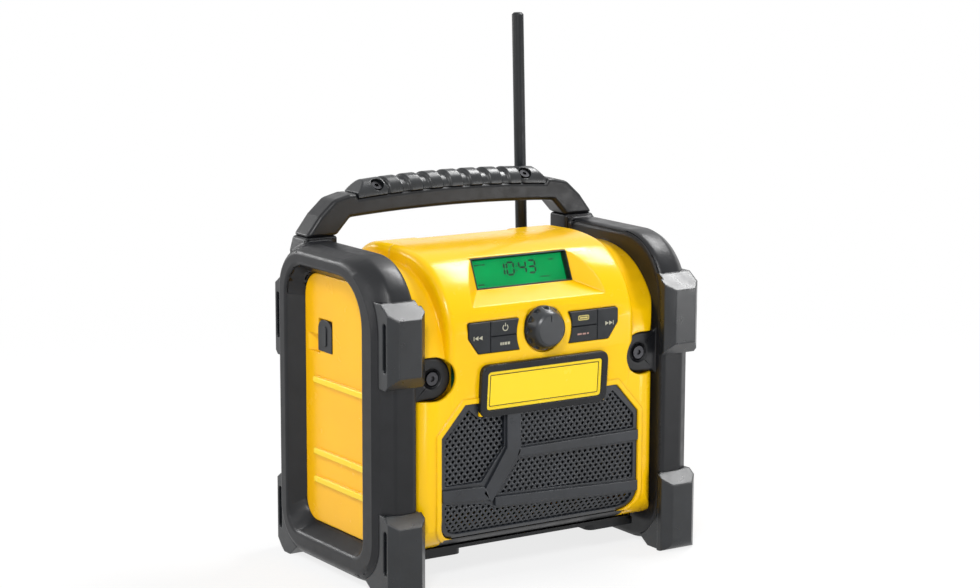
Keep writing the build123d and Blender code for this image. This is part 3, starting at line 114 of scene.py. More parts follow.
# ------------------------------------------------------------------ material building
class Finish:
    """A material under construction: its nodes and its surface shader."""

    def __init__(self, name):
        self.material = bpy.data.materials.new(name)
        self.material.use_nodes = True
        self.nodes = self.material.node_tree.nodes
        self.links = self.material.node_tree.links
        self.nodes.clear()
        self.output = self.nodes.new("ShaderNodeOutputMaterial")
        self.surface = self.nodes.new("ShaderNodeBsdfPrincipled")
        self.links.new(self.surface.outputs["BSDF"], self.output.inputs["Surface"])
        self.coordinates = self.nodes.new("ShaderNodeTexCoord").outputs["Object"]
        self.normal = None

    def set(self, **sockets):
        """Numbers that are the same all over, set on the shader's own sockets."""
        for name, value in sockets.items():
            socket = name.replace("_", " ").title().replace("Ior", "IOR")
            self.surface.inputs[socket].default_value = value
        return self

    def stretched(self, along):
        """Coordinates drawn out along the axes, for brushed and fibrous finishes."""
        mapping = self.nodes.new("ShaderNodeMapping")
        mapping.inputs["Scale"].default_value = along
        self.links.new(self.coordinates, mapping.inputs["Vector"])
        return mapping.outputs["Vector"]

    def noise(self, size, detail=3.0, roughness=0.5, coordinates=None):
        """Noise whose features are about size across."""
        node = self.nodes.new("ShaderNodeTexNoise")
        node.inputs["Scale"].default_value = 1 / size
        node.inputs["Detail"].default_value = detail
        node.inputs["Roughness"].default_value = roughness
        self.links.new(coordinates or self.coordinates, node.inputs["Vector"])
        return node.outputs["Fac"]

    def grain(self, size, feature="SMOOTH_F1"):
        """Cells of a spark-eroded or leather-like mould texture."""
        node = self.nodes.new("ShaderNodeTexVoronoi")
        node.feature = feature
        node.inputs["Scale"].default_value = 1 / size
        if feature == "SMOOTH_F1":
            node.inputs["Smoothness"].default_value = 0.6
        self.links.new(self.coordinates, node.inputs["Vector"])
        return node.outputs["Distance"]

    def span(self, value, low, high, to_low=0.0, to_high=1.0):
        """Maps a value from one range to another, clamped."""
        node = self.nodes.new("ShaderNodeMapRange")
        for name, number in (
            ("From Min", low), ("From Max", high), ("To Min", to_low), ("To Max", to_high)
        ):
            node.inputs[name].default_value = number
        self.links.new(value, node.inputs["Value"])
        return node.outputs["Result"]

    def product(self, first, second):
        node = self.nodes.new("ShaderNodeMath")
        node.operation = "MULTIPLY"
        self.links.new(first, node.inputs[0])
        self.links.new(second, node.inputs[1])
        return node.outputs[0]

    def blend(self, factor, first, second):
        """Colour that goes from first to second with the factor."""
        node = self.nodes.new("ShaderNodeMix")
        node.data_type = "RGBA"
        self.links.new(factor, node.inputs["Factor"])
        for socket, colour in ((node.inputs[6], first), (node.inputs[7], second)):
            if isinstance(colour, bpy.types.NodeSocket):
                self.links.new(colour, socket)
            else:
                socket.default_value = (*colour[:3], 1)
        return node.outputs[2]

    def edges(self, radius):
        """1 on sharp edges and 0 on flat stretches."""
        bevel = self.nodes.new("ShaderNodeBevel")
        bevel.samples = 4
        bevel.inputs["Radius"].default_value = radius
        geometry = self.nodes.new("ShaderNodeNewGeometry")
        dot = self.nodes.new("ShaderNodeVectorMath")
        dot.operation = "DOT_PRODUCT"
        self.links.new(bevel.outputs["Normal"], dot.inputs[0])
        self.links.new(geometry.outputs["Normal"], dot.inputs[1])
        return self.span(dot.outputs["Value"], 0.98, 0.80)

    def soft_edges(self, radius):
        """Lets the light roll over sharp edges, under any bump."""
        bevel = self.nodes.new("ShaderNodeBevel")
        bevel.samples = 6
        bevel.inputs["Radius"].default_value = radius
        self.normal = bevel.outputs["Normal"]
        return self

    def colour(self, socket):
        self.links.new(socket, self.surface.inputs["Base Color"])
        return self

    def roughness(self, socket):
        self.links.new(socket, self.surface.inputs["Roughness"])
        return self

    def bump(self, *layers):
        """Height layers, each a (value, height in metres) pair, stacked on the surface."""
        normal = self.normal
        for value, height in layers:
            node = self.nodes.new("ShaderNodeBump")
            node.inputs["Strength"].default_value = 1
            node.inputs["Distance"].default_value = height
            self.links.new(value, node.inputs["Height"])
            if normal:
                self.links.new(normal, node.inputs["Normal"])
            normal = node.outputs["Normal"]
        self.links.new(normal, self.surface.inputs["Normal"])
        return self


def scaled(colour, factor):
    """Colour made lighter or darker."""
    return tuple(min(1.0, c * factor) for c in colour[:3])


def mixed(first, second, share):
    """Colour between two others."""
    return tuple(a + (b - a) * share for a, b in zip(first, second))


def moulded_yellow(name, colour, deep, soft=1.8):
    """Glossy coloured moulding: faint drift of tone, orange-peel gloss, paler rubbed edges."""
    finish = Finish(name)
    drift = finish.span(finish.noise(90 * MM, 2), 0.35, 0.75)
    toned = finish.blend(drift, colour, mixed(colour, deep, 0.3))
    rubbed = finish.span(finish.noise(4 * MM, 4), 0.45, 0.75, 0, 0.25)
    worn = finish.product(finish.edges(0.6 * MM), rubbed)
    finish.colour(finish.blend(worn, toned, (1.0, 0.78, 0.16)))
    finish.roughness(finish.span(finish.noise(12 * MM, 4), 0.3, 0.7, 0.18, 0.28))
    finish.soft_edges(soft * MM)
    finish.bump((finish.noise(1.1 * MM, 2), 0.008 * MM), (finish.noise(14 * MM, 2), 0.06 * MM))
    finish.set(specular_ior_level=0.24, coat_weight=0.05, coat_roughness=0.10)
    return finish.material


def moulded_black(
    name, colour, grain=0.55, roughness=(0.30, 0.42), depth=0.035, specular=0.3, soft=0.6,
):
    """Satin black moulding with a spark-eroded texture and greyer, rubbed edges."""
    finish = Finish(name)
    mottle = finish.span(finish.noise(20 * MM, 4), 0.3, 0.7)
    toned = finish.blend(mottle, scaled(colour, 0.8), scaled(colour, 1.3))
    rubbed = finish.span(finish.noise(6 * MM, 5), 0.4, 0.7, 0.05, 0.6)
    worn = finish.product(finish.edges(0.8 * MM), rubbed)
    finish.colour(finish.blend(worn, toned, scaled(colour, 4.0)))
    finish.roughness(finish.span(finish.noise(8 * MM, 4), 0.3, 0.7, *roughness))
    finish.soft_edges(soft * MM)
    finish.bump((finish.grain(grain * MM), depth * MM), (finish.noise(0.2 * MM, 2), 0.008 * MM))
    finish.set(specular_ior_level=specular)
    return finish.material


def turned_metal(name, colour, roughness=(0.22, 0.38), along=(1, 1, 14)):
    """Bare or plated metal with fine tool marks and darker, handled patches."""
    finish = Finish(name)
    marks = finish.noise(1.6 * MM, 3, 0.6, finish.stretched(along))
    patches = finish.span(finish.noise(10 * MM, 4), 0.35, 0.7)
    finish.colour(finish.blend(patches, colour, scaled(colour, 0.72)))
    finish.roughness(finish.span(marks, 0.3, 0.7, *roughness))
    finish.bump((marks, 0.012 * MM))
    finish.set(metallic=1.0)
    return finish.material


def ink(name, colour):
    """Screen-printed ink: a little uneven, matt beside the key's satin."""
    finish = Finish(name)
    patchy = finish.span(finish.noise(0.6 * MM, 3), 0.3, 0.7)
    finish.colour(finish.blend(patchy, colour, scaled(colour, 0.72)))
    finish.roughness(finish.span(finish.noise(0.8 * MM, 2), 0.3, 0.7, 0.5, 0.7))
    finish.bump((finish.noise(0.4 * MM, 2), 0.004 * MM))
    return finish.material


# ------------------------------------------------------------------ objects
def settings(context):
    """The colours and the edge radii that the sidebar shows."""
    return context.scene.radio_finish, context.scene.radio_edges


def rounded(piece, width, segments=2, angle=32, clamp=True):
    """Rounds the sharp edges of a piece."""
    bevel = piece.modifiers.new("round_edges", "BEVEL")
    bevel.width = width
    bevel.segments = segments
    bevel.limit_method = "ANGLE"
    bevel.angle_limit = radians(angle)
    bevel.use_clamp_overlap = clamp
    bevel.harden_normals = True


def dress(node, material, edge=0.0, segments=2, angle=32, clamp=True):
    """Gives a construction node its finish, and rounds its sharp edges."""
    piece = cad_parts[node]
    piece.data.materials.clear()
    piece.data.materials.append(material)
    if edge:
        weld = piece.modifiers.new("join_corners", "WELD")
        weld.merge_threshold = 0.002 * MM
        rounded(piece, edge, segments, angle, clamp)
    return piece


def add_piece(name, mesh, material, body, stands_for=()):
    """Puts a new mesh in the scene, on the body it moves with."""
    for polygon in mesh.polygons:
        polygon.use_smooth = True
    mesh.set_sharp_from_angle(angle=radians(32))
    mesh.materials.append(material)
    piece = bpy.data.objects.new(name, mesh)
    bpy.context.scene.collection.objects.link(piece)
    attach(piece, body)
    if stands_for:
        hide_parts(*stands_for)
    return piece


def to_mesh(name, form):
    """Mesh of a finished form, with its faces turned outwards."""
    bmesh.ops.recalc_face_normals(form, faces=form.faces[:])
    mesh = bpy.data.meshes.new(name)
    form.to_mesh(mesh)
    form.free()
    return mesh


def bar_outline(x, z, wide, high):
    """Outline of a bar, round its centre."""
    return [
        (x - wide / 2, z - high / 2), (x + wide / 2, z - high / 2), (x + wide / 2, z + high / 2),
        (x - wide / 2, z + high / 2),
    ]


def soften(points, radius, steps=4):
    """Outline with its corners rounded."""
    result = []
    count = len(points)
    for index, corner in enumerate(points):
        corner = Vector(corner)
        before = Vector(points[index - 1]) - corner
        after = Vector(points[(index + 1) % count]) - corner
        reach = min(radius, before.length * 0.45, after.length * 0.45)
        start = corner + before.normalized() * reach
        end = corner + after.normalized() * reach
        for step in range(steps + 1):
            t = step / steps
            result.append(tuple(start * (1 - t) ** 2 + corner * (2 * t * (1 - t)) + end * t**2))
    return result


def add_slab(form, outlines, back, front, place, cuts=()):
    """Adds a closed plate between two heights over a flat outline with openings, bent by place."""
    plate = bmesh.new()
    for points in outlines:
        corners = [plate.verts.new((a, b, 0)) for a, b in points]
        for first, second in zip(corners, corners[1:] + corners[:1]):
            plate.edges.new((first, second))
    bmesh.ops.triangle_fill(plate, edges=plate.edges[:], use_beauty=True, normal=(0, 0, 1))
    bmesh.ops.dissolve_limit(
        plate, angle_limit=radians(1), verts=plate.verts[:], edges=plate.edges[:]
    )
    for cut in cuts:
        geometry = plate.verts[:] + plate.edges[:] + plate.faces[:]
        bmesh.ops.bisect_plane(plate, geom=geometry, plane_co=(0, cut, 0), plane_no=(0, 1, 0))
    grown = bmesh.ops.extrude_face_region(plate, geom=plate.faces[:])["geom"]
    raised = {item for item in grown if isinstance(item, bmesh.types.BMVert)}
    for vertex in plate.verts:
        vertex.co = place(vertex.co.x, vertex.co.y, front if vertex in raised else back)
    if any(len(edge.link_faces) != 2 for edge in plate.edges):
        raise RuntimeError("a plate is not closed")
    mesh = bpy.data.meshes.new("plate")
    plate.to_mesh(mesh)
    plate.free()
    form.from_mesh(mesh)
    bpy.data.meshes.remove(mesh)


def slab_mesh(name, plates, place):
    """Mesh of several plates, each (outlines, back, front) and optionally cuts."""
    form = bmesh.new()
    for plate in plates:
        add_slab(form, *plate[:3], place, *plate[3:])
    return to_mesh(name, form)


def add_plates(name, plates, place, material, body, stands_for=()):
    """Puts plates in the scene as one piece, on the body it moves with."""
    return add_piece(name, slab_mesh(name, plates, place), material, body, stands_for)


def face_point(x, z, rise):
    """Point in metres over the front face, which rolls under the body below the toe."""
    drop = TOE_Z - z
    if drop <= 0:
        return Vector((x, FRONT_Y - rise, z)) * MM
    lean = asin(min(drop / TOE_RADIUS, 1))
    reach = TOE_RADIUS + rise
    return Vector((x, FRONT_Y + TOE_RADIUS - reach * cos(lean), TOE_Z - reach * sin(lean))) * MM


def display_point(x, up, rise):
    """Point in metres over the leaning display."""
    normal = Vector((0, -cos(DISPLAY_LEAN), sin(DISPLAY_LEAN)))
    upward = Vector((0, sin(DISPLAY_LEAN), cos(DISPLAY_LEAN)))
    return (DISPLAY_CENTRE + Vector((x, 0, 0)) + upward * up + normal * rise) * MM


def key_point(x, z, rise):
    """Point in metres over the faces of the keys."""
    return Vector((x, KEY_FACE_Y - rise, z)) * MM


def badge_point(x, z, rise):
    """Point in metres over the name plate, which leans back a little."""
    normal = Vector((0, -cos(BADGE_LEAN), -sin(BADGE_LEAN)))
    upward = Vector((0, -sin(BADGE_LEAN), cos(BADGE_LEAN)))
    return (BADGE_CENTRE + Vector((x, 0, 0)) + upward * (z - BADGE_CENTRE.z) + normal * rise) * MM


def side_point(y, z, rise, side=-1):
    """Point in metres over the face of a side panel, the left one unless said."""
    return Vector((side * (PANEL_FACE_X + rise), y, z)) * MM


# ------------------------------------------------------------------ housing
RIDGES_Z = (127.3, 77.5, 58.0)
RIDGE_SIZE = (72.0, 4.6)
RIDGE_RISE = (0.6, 2.6)  # of the back and the top over the panel's face


class RADIO_OT_housing(bpy.types.Operator):
    """Finish the yellow shells and side panels"""

    bl_idname = "radio.housing"
    bl_label = "Housing"

    def execute(self, context):
        finish = context.scene.radio_finish
        edge = context.scene.radio_edges.housing
        shell = moulded_yellow("housing_yellow", finish.yellow, finish.amber)
        for node in ("front_housing", "rear_housing"):
            dress(node, shell, edge, 3)
        # Painted shade: the side panels take a copy of the shell yellow pulled towards amber, which stands
        # in for the shade on their sideways faces.
        panel = moulded_yellow("panel_yellow", mixed(finish.yellow, finish.amber, 0.42), finish.amber)
        # Painted highlight: the ridges take a paler, badge-yellow copy of the panel moulding, which stands
        # in for the light catching their tops.
        raised = moulded_yellow("ridge_yellow_painted_highlight", mixed(finish.yellow, finish.lemon, 0.7), finish.yellow, 0.6)
        for side, node in ((-1, "left_side_panel"), (1, "right_side_panel")):
            dress(node, panel, edge, 3)
            bars = [
                ((soften(bar_outline(0, z, *RIDGE_SIZE), 2.0, 6),), *RIDGE_RISE) for z in RIDGES_Z
            ]
            place = partial(side_point, side=side)
            ridges = add_plates(f"{node}_ridges", bars, place, raised, "housing")
            rounded(ridges, edge * 1.6, 4)
        return {"FINISHED"}


# ------------------------------------------------------------------ cages and bumpers
class RADIO_OT_cages(bpy.types.Operator):
    """Finish the roll cages and the base"""

    bl_idname = "radio.cages"
    bl_label = "Cages"

    def execute(self, context):
        finish, edges = settings(context)
        cage = moulded_black("cage_black", finish.cage_black)
        for node in ("left_cage", "right_cage"):
            dress(node, cage, edges.cage, 4, 30, False)
        dress("base_tray", moulded_black("base_black", finish.cage_black, 0.5), edges.small * 2, 3)
        return {"FINISHED"}


class RADIO_OT_bumpers(bpy.types.Operator):
    """Finish the corner bumpers"""

    bl_idname = "radio.bumpers"
    bl_label = "Corner bumpers"

    def execute(self, context):
        finish = context.scene.radio_finish
        edge = context.scene.radio_edges.bumper
        rubber = moulded_black("bumper_rubber", finish.rubber_black, 0.8, (0.26, 0.36), 0.014, 0.5, 1.6)
        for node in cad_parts:
            if node.endswith("_bumper"):
                dress(node, rubber, edge, 3, 25)
        return {"FINISHED"}


# ------------------------------------------------------------------ handle
GRIP_ARC = 952.0  # radius of the arc that the seam under the grip follows
SEAM_Z = 250.4  # height of that seam in the middle
GRIP_END = 77.0
GRIP_TOP_Z = 262.0
RIB_CENTRES = (-49.0, -32.7, -16.3, 0.0, 16.3, 32.7, 49.0)
RIB_HALF = 5.2
RIB_SLOPE = 1.5
RIB_SIZE = (9.9, 11.0)  # half of the depth, and the height over the seam
GROOVE_SIZE = (8.5, 8.3)
RIB_SLANT = 2.4
PAD_START = 55.8  # where the plain end of the grip starts
PAD_FALL = 66.5  # where it starts to slope down
PAD_SLOPE = 11.2 / 10.5
SCREW_X = 61.0
SCREW_Y = 46.4
SCREW_RISE = 4.8  # of the pocket's floor over the seam
SCREW_LEAN = radians(40)
POCKET_RADIUS = 4.8
POCKET_DEPTH = 12.0


def seam_at(x):
    """Height of the seam between the handle and its grip."""
    return SEAM_Z - GRIP_ARC + (GRIP_ARC**2 - x**2) ** 0.5


def rib_share(x):
    """1 on a rib or a plain end of the grip, 0 in a groove."""
    gap = min(abs(x - centre) - RIB_HALF for centre in RIB_CENTRES)
    gap = min(gap, PAD_START - abs(x))
    t = min(max(0.5 - gap / RIB_SLOPE, 0), 1)
    return t * t * (3 - 2 * t)


def grip_ring(x, steps):
    """Points round one section of the grip, from its front seam over the top to the rear seam."""
    lean = asin(x / GRIP_ARC)
    seam = seam_at(x)
    cap = GRIP_TOP_Z - max(abs(x) - PAD_FALL, 0) * PAD_SLOPE - seam
    ring = []
    for step in range(steps + 1):
        turn = pi * step / steps
        across = -cos(turn)
        share = rib_share(x + RIB_SLANT * across)
        half = GROOVE_SIZE[0] + (RIB_SIZE[0] - GROOVE_SIZE[0]) * share
        tall = GROOVE_SIZE[1] + (RIB_SIZE[1] - GROOVE_SIZE[1]) * share
        rise = min(sin(turn) * tall, cap)
        ring.append(Vector((x + sin(lean) * rise, HANDLE_MID_Y + across * half, seam + rise)) * MM)
    return ring


def grip_mesh(name, columns=308, steps=26):
    """Ribbed grip as one closed form."""
    form = bmesh.new()
    rings = []
    for column in range(columns + 1):
        x = GRIP_END * (2 * column / columns - 1)
        rings.append([form.verts.new(point) for point in grip_ring(x, steps)])
    for near, far in zip(rings, rings[1:]):
        for step in range(steps + 1):
            after = (step + 1) % (steps + 1)
            form.faces.new((near[step], near[after], far[after], far[step]))
    form.faces.new(rings[0])
    form.faces.new(reversed(rings[-1]))
    return to_mesh(name, form)


def pocket_mesh(side, steps=32):
    """Cutter for the screw pocket in one end of the grip."""
    axis = Vector((0, -sin(SCREW_LEAN), cos(SCREW_LEAN)))
    sideways = Vector((1, 0, 0))
    upward = axis.cross(sideways)
    seat = Vector((side * SCREW_X, SCREW_Y, seam_at(SCREW_X) + SCREW_RISE))
    turns = [2 * pi * step / steps for step in range(steps)]
    circle = [(POCKET_RADIUS * cos(turn), POCKET_RADIUS * sin(turn)) for turn in turns]
    return slab_mesh(
        "pocket", [((circle,), 0, POCKET_DEPTH)],
        lambda a, b, rise: (seat + sideways * a + upward * b + axis * rise) * MM,
    )


def carve(piece, cutters):
    """Cuts closed meshes out of a piece for good."""
    for number, mesh in enumerate(cutters):
        cutter = bpy.data.objects.new(f"cutter_{number}", mesh)
        bpy.context.scene.collection.objects.link(cutter)
        cut = piece.modifiers.new("cut", "BOOLEAN")
        cut.object = cutter
        cut.operation = "DIFFERENCE"
        cut.solver = "EXACT"
        depsgraph = bpy.context.evaluated_depsgraph_get()
        result = bpy.data.meshes.new_from_object(piece.evaluated_get(depsgraph))
        piece.modifiers.remove(cut)
        piece.data = result
        bpy.data.objects.remove(cutter)


class RADIO_OT_handle(bpy.types.Operator):
    """Finish the handle and mould its ribbed grip"""

    bl_idname = "radio.handle"
    bl_label = "Handle and grip"

    def execute(self, context):
        finish, edges = settings(context)
        dress("handle", moulded_black("handle_black", finish.cage_black), edges.handle, 4, 25, False)
        rubber = moulded_black("grip_rubber", finish.rubber_black, 0.5, (0.24, 0.36), 0.02, 0.5)
        grip = add_piece(
            "ribbed_grip", grip_mesh("ribbed_grip"), rubber, "housing", ("handle_grip",)
        )
        carve(grip, [pocket_mesh(side) for side in (-1, 1)])
        for polygon in grip.data.polygons:
            polygon.use_smooth = True
        grip.data.set_sharp_from_angle(angle=radians(40))
        return {"FINISHED"}


# ------------------------------------------------------------------ display
SEGMENTS = {
    "a": ((0, 2), (1, 2)), "b": ((1, 2), (1, 1)), "c": ((1, 1), (1, 0)), "d": ((0, 0), (1, 0)),
    "e": ((0, 1), (0, 0)), "f": ((0, 2), (0, 1)), "g": ((0, 1), (1, 1)),
}
DIGITS = {"0": "abcdef", "1": "bc", "3": "abgcd", "4": "fgbc"}
DIGIT_SIZE = (5.3, 4.3)  # width, and height of half a digit
DIGIT_GAP = 2.3
DIGIT_SLANT = 0.09
DOT_SIZE = 0.9
DOTS_UP = (2.4, 5.6)
DOTS_WIDE = 2.2
STROKE = 1.45
STROKE_GAP = 0.22  # between the ends of a stroke and the corners of its digit
TIME_PLACE = (-16.0, -1.8)
# Each small mark: its left end and its foot from the display's centre, and its width.
SMALL_MARKS = (
    (-33.4, 6.4, 3.2), (-29.6, 6.4, 1.4), (-27.4, 6.4, 2.6), (17.0, -5.6, 1.8),
    (19.4, -5.6, 2.6), (22.6, -5.6, 2.0), (-33.4, -7.2, 5.0), (26.4, 5.8, 4.4),
)
MARK_HIGH = 0.9
PRINT_DEPTH = (-1.5, -1.46)  # of the figures' back and front, behind the window's face
WINDOW_SIZE = (75.0, 19.7)
WINDOW_THICK = 0.9


def stroke(start, end, width):
    """Six-cornered bar between two points, as in a segment display."""
    start, end = Vector(start), Vector(end)
    along = (end - start).normalized()
    across = Vector((-along.y, along.x)) * width / 2
    start += along * STROKE_GAP
    end -= along * STROKE_GAP
    taper = along * width / 2
    return [
        tuple(point) for point in (
            start, start + taper + across, end - taper + across, end, end - taper - across,
            start + taper - across,
        )
    ]


def clock_bars(text, left, low):
    """Bars of the digits and dots of a time."""
    bars = []
    for character in text:
        if character == ":":
            for up in DOTS_UP:
                bars.append(bar_outline(left + DIGIT_SLANT * up, low + up, DOT_SIZE, DOT_SIZE))
            left += DOTS_WIDE
            continue
        for segment in DIGITS[character]:
            ends = []
            for column, row in SEGMENTS[segment]:
                up = row * DIGIT_SIZE[1]
                ends.append((left + column * DIGIT_SIZE[0] + DIGIT_SLANT * up, low + up))
            bars.append(stroke(*ends, STROKE))
        left += DIGIT_SIZE[0] + DIGIT_GAP
    return bars


class RADIO_OT_display(bpy.types.Operator):
    """Finish the display: lit panel, dark figures, clear window and frame"""

    bl_idname = "radio.display"
    bl_label = "Display"

    def execute(self, context):
        finish, edges = settings(context)
        trim = moulded_black("bezel_black", finish.cage_black, 0.3, (0.35, 0.5), 0.02)
        dress("display_bezel", trim, edges.small * 0.5)
        green = Finish("display_green")
        patch = green.span(green.noise(20 * MM, 2), 0.3, 0.7)
        pixels = green.grain(0.4 * MM, "F1")
        lit = finish.display_green
        glow = green.blend(patch, scaled(lit, 0.9), scaled(lit, 1.12))
        green.colour(green.blend(patch, scaled(lit, 0.3), scaled(lit, 0.4)))
        green.links.new(glow, green.surface.inputs["Emission Color"])
        green.set(emission_strength=0.66, specular_ior_level=0.08)
        green.roughness(green.span(pixels, 0, 1, 0.35, 0.5))
        green.bump((pixels, 0.003 * MM))
        dress("lcd_panel", green.material)
        bars = clock_bars("10:43", *TIME_PLACE) + [
            bar_outline(x + wide / 2, up + MARK_HIGH / 2, wide, MARK_HIGH)
            for x, up, wide in SMALL_MARKS
        ]
        plates = [((bar,), *PRINT_DEPTH) for bar in bars]
        dark = ink("display_ink", scaled(lit, 0.05))
        add_plates("display_figures", plates, display_point, dark, "housing")
        glass = Finish("display_glass")
        glass.set(transmission_weight=1.0, ior=1.1)
        glass.colour(glass.blend(glass.noise(20 * MM), (0.86, 0.95, 0.90), (0.92, 0.98, 0.95)))
        glass.roughness(glass.span(glass.noise(10 * MM), 0.3, 0.7, 0.01, 0.04))
        glass.bump((glass.noise(30 * MM, 1), 0.02 * MM))
        window = soften(bar_outline(0, 0, *WINDOW_SIZE), 1.0)
        pane = add_plates(
            "display_window", [((window,), -WINDOW_THICK, 0)], display_point, glass.material,
            "housing", ("display_lens",),
        )
        rounded(pane, 0.12 * MM)
        return {"FINISHED"}


# ------------------------------------------------------------------ keys and knob
SEEK_KEY = (51.5, 166.0)
UPPER_KEY = (31.5, 171.6)
LOWER_KEY = (31.5, 160.6)
POWER_RING = (2.3, 0.62, 32, 328)  # radius, line width, and the angles that the ring spans
SYMBOL_THICK = 0.05
KNOB_MARK = (1.3, 4.4)
KNOB_MARK_Z = 175.4
KNOB_MARK_RISE = (8.3, 9.0)  # over the faces of the keys


def arrowheads(x, z, direction):
    """Two solid arrowheads that point the same way, to a short bar."""
    heads = []
    for shift in (-2.0, 1.2):
        tip = x + direction * (shift + 2.8)
        root = x + direction * shift
        heads.append([(root, z - 1.45), (tip, z), (root, z + 1.45)])
    heads.append(bar_outline(x + direction * 4.6, z, 0.5, 2.9))
    return heads


def ring_outline(x, z, radius, width, start, end, steps=18):
    """Open ring as one outline."""
    outer = []
    inner = []
    for step in range(steps + 1):
        turn = radians(start + (end - start) * step / steps)
        outer.append((x + radius * sin(turn), z + radius * cos(turn)))
        inner.append((x + (radius - width) * sin(turn), z + (radius - width) * cos(turn)))
    return outer + inner[::-1]


class RADIO_OT_keys(bpy.types.Operator):
    """Finish the six rubber keys and print their symbols"""

    bl_idname = "radio.keys"
    bl_label = "Keys"

    def execute(self, context):
        finish, edges = settings(context)
        black = scaled(finish.rubber_black, 1.1)
        rubber = moulded_black("key_rubber", black, 0.3, (0.42, 0.55), 0.012)
        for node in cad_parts:
            if node.endswith("_key"):
                dress(node, rubber, edges.small, 3)
        cream = ink("symbol_cream", finish.print_cream)
        gold = ink("symbol_gold", (0.62, 0.52, 0.16))
        blush = ink("symbol_blush", (0.46, 0.26, 0.22))
        seek_x, seek_z = SEEK_KEY
        key_x, upper_z = UPPER_KEY
        lower_z = LOWER_KEY[1]
        cell = [
            soften(bar_outline(*UPPER_KEY, 9.0, 3.4), 1.2), soften(bar_outline(*UPPER_KEY, 7.6, 2.0), 0.7)
        ]
        charge = soften(bar_outline(*UPPER_KEY, 6.6, 1.1), 0.4)
        symbols = (
            ("left_seek_key", cream, [(outline,) for outline in arrowheads(-seek_x, seek_z, -1)]),
            ("left_upper_key", cream, [
                (ring_outline(-key_x, upper_z - 0.4, *POWER_RING),),
                (bar_outline(-key_x, upper_z + 1.6, 0.62, 2.3),),
            ]),
            ("left_lower_key", cream, [
                (bar_outline(-key_x + shift, lower_z, wide, 1.8),)
                for shift, wide in ((-3.4, 1.2), (-1.7, 1.2), (0.3, 1.8), (2.7, 1.8))
            ]),
            ("right_upper_key", gold, [cell, (charge,)]),
            ("right_lower_key", blush, [
                (bar_outline(key_x + shift, lower_z, wide, 1.1),)
                for shift, wide in ((-3.2, 3.4), (0.6, 2.6), (3.6, 1.6))
            ]),
            ("right_seek_key", cream, [(outline,) for outline in arrowheads(seek_x, seek_z, 1)]),
        )
        for body, print_ink, shapes in symbols:
            plates = [(shape, 0, SYMBOL_THICK) for shape in shapes]
            add_plates(f"{body}_symbol", plates, key_point, print_ink, body)
        return {"FINISHED"}


class RADIO_OT_knob(bpy.types.Operator):
    """Finish the tuning knob"""

    bl_idname = "radio.knob"
    bl_label = "Tuning knob"

    def execute(self, context):
        finish, edges = settings(context)
        black = scaled(finish.rubber_black, 1.5)
        rubber = moulded_black("knob_rubber", black, 0.35, (0.26, 0.36), 0.02, 0.5)
        dress("tuning_knob", rubber, edges.small * 2, 3)
        bar = soften(bar_outline(0, KNOB_MARK_Z, *KNOB_MARK), 0.6)
        plates = [((bar,), *KNOB_MARK_RISE)]
        mark = add_plates("knob_mark", plates, key_point, rubber, "knob")
        rounded(mark, edges.small * 0.7)
        return {"FINISHED"}


# ------------------------------------------------------------------ badge and grille
LIP_OUTSIDE = (102.0, 35.8)
LIP_INSIDE = (91.6, 25.8)
LINE_OUTSIDE = (87.6, 21.6)
LINE_WIDE = 0.5


def badge_ring(outside, inside, outer_corners, inner_corners):
    """Outlines of a frame round the middle of the name plate."""
    middle = (BADGE_CENTRE.x, BADGE_CENTRE.z)
    return [
        soften(bar_outline(*middle, *outside), *outer_corners),
        soften(bar_outline(*middle, *inside), *inner_corners),
    ]


class RADIO_OT_badge(bpy.types.Operator):
    """Finish the bare name plate and its frame"""

    bl_idname = "radio.badge"
    bl_label = "Name plate"

    def execute(self, context):
        finish, edges = settings(context)
        trim = moulded_black("badge_black", finish.cage_black, 0.3, (0.24, 0.34), 0.015)
        dress("badge_frame", trim, edges.small * 2, 3)
        plate = moulded_yellow("badge_yellow", finish.lemon, finish.yellow, 0.5)
        dress("badge_plate", plate, edges.small, 3)
        lip = [(badge_ring(LIP_OUTSIDE, LIP_INSIDE, (7.0, 8), (2.6, 6)), -0.4, 3.7)]
        surround = add_plates("badge_surround", lip, badge_point, trim, "housing")
        rounded(surround, edges.small * 3, 3)
        line_inside = [size - 2 * LINE_WIDE for size in LINE_OUTSIDE]
        line = [(badge_ring(LINE_OUTSIDE, line_inside, (0.8,), (0.5,)), 2.35, 2.5)]
        add_plates("badge_line", line, badge_point, trim, "housing")
        return {"FINISHED"}


GRILLE_OUTLINE = (
    (-61.4, 121.7), (-50.6, 121.7), (-50.6, 112.4), (50.6, 112.4), (50.6, 121.7), (61.4, 121.7),
    (79.5, 101.4), (79.5, 44.0), (77.4, 37.4), (73.2, 32.9), (66.6, 30.8), (-66.6, 30.8),
    (-73.2, 32.9), (-77.4, 37.4), (-79.5, 44.0), (-79.5, 101.4),
)
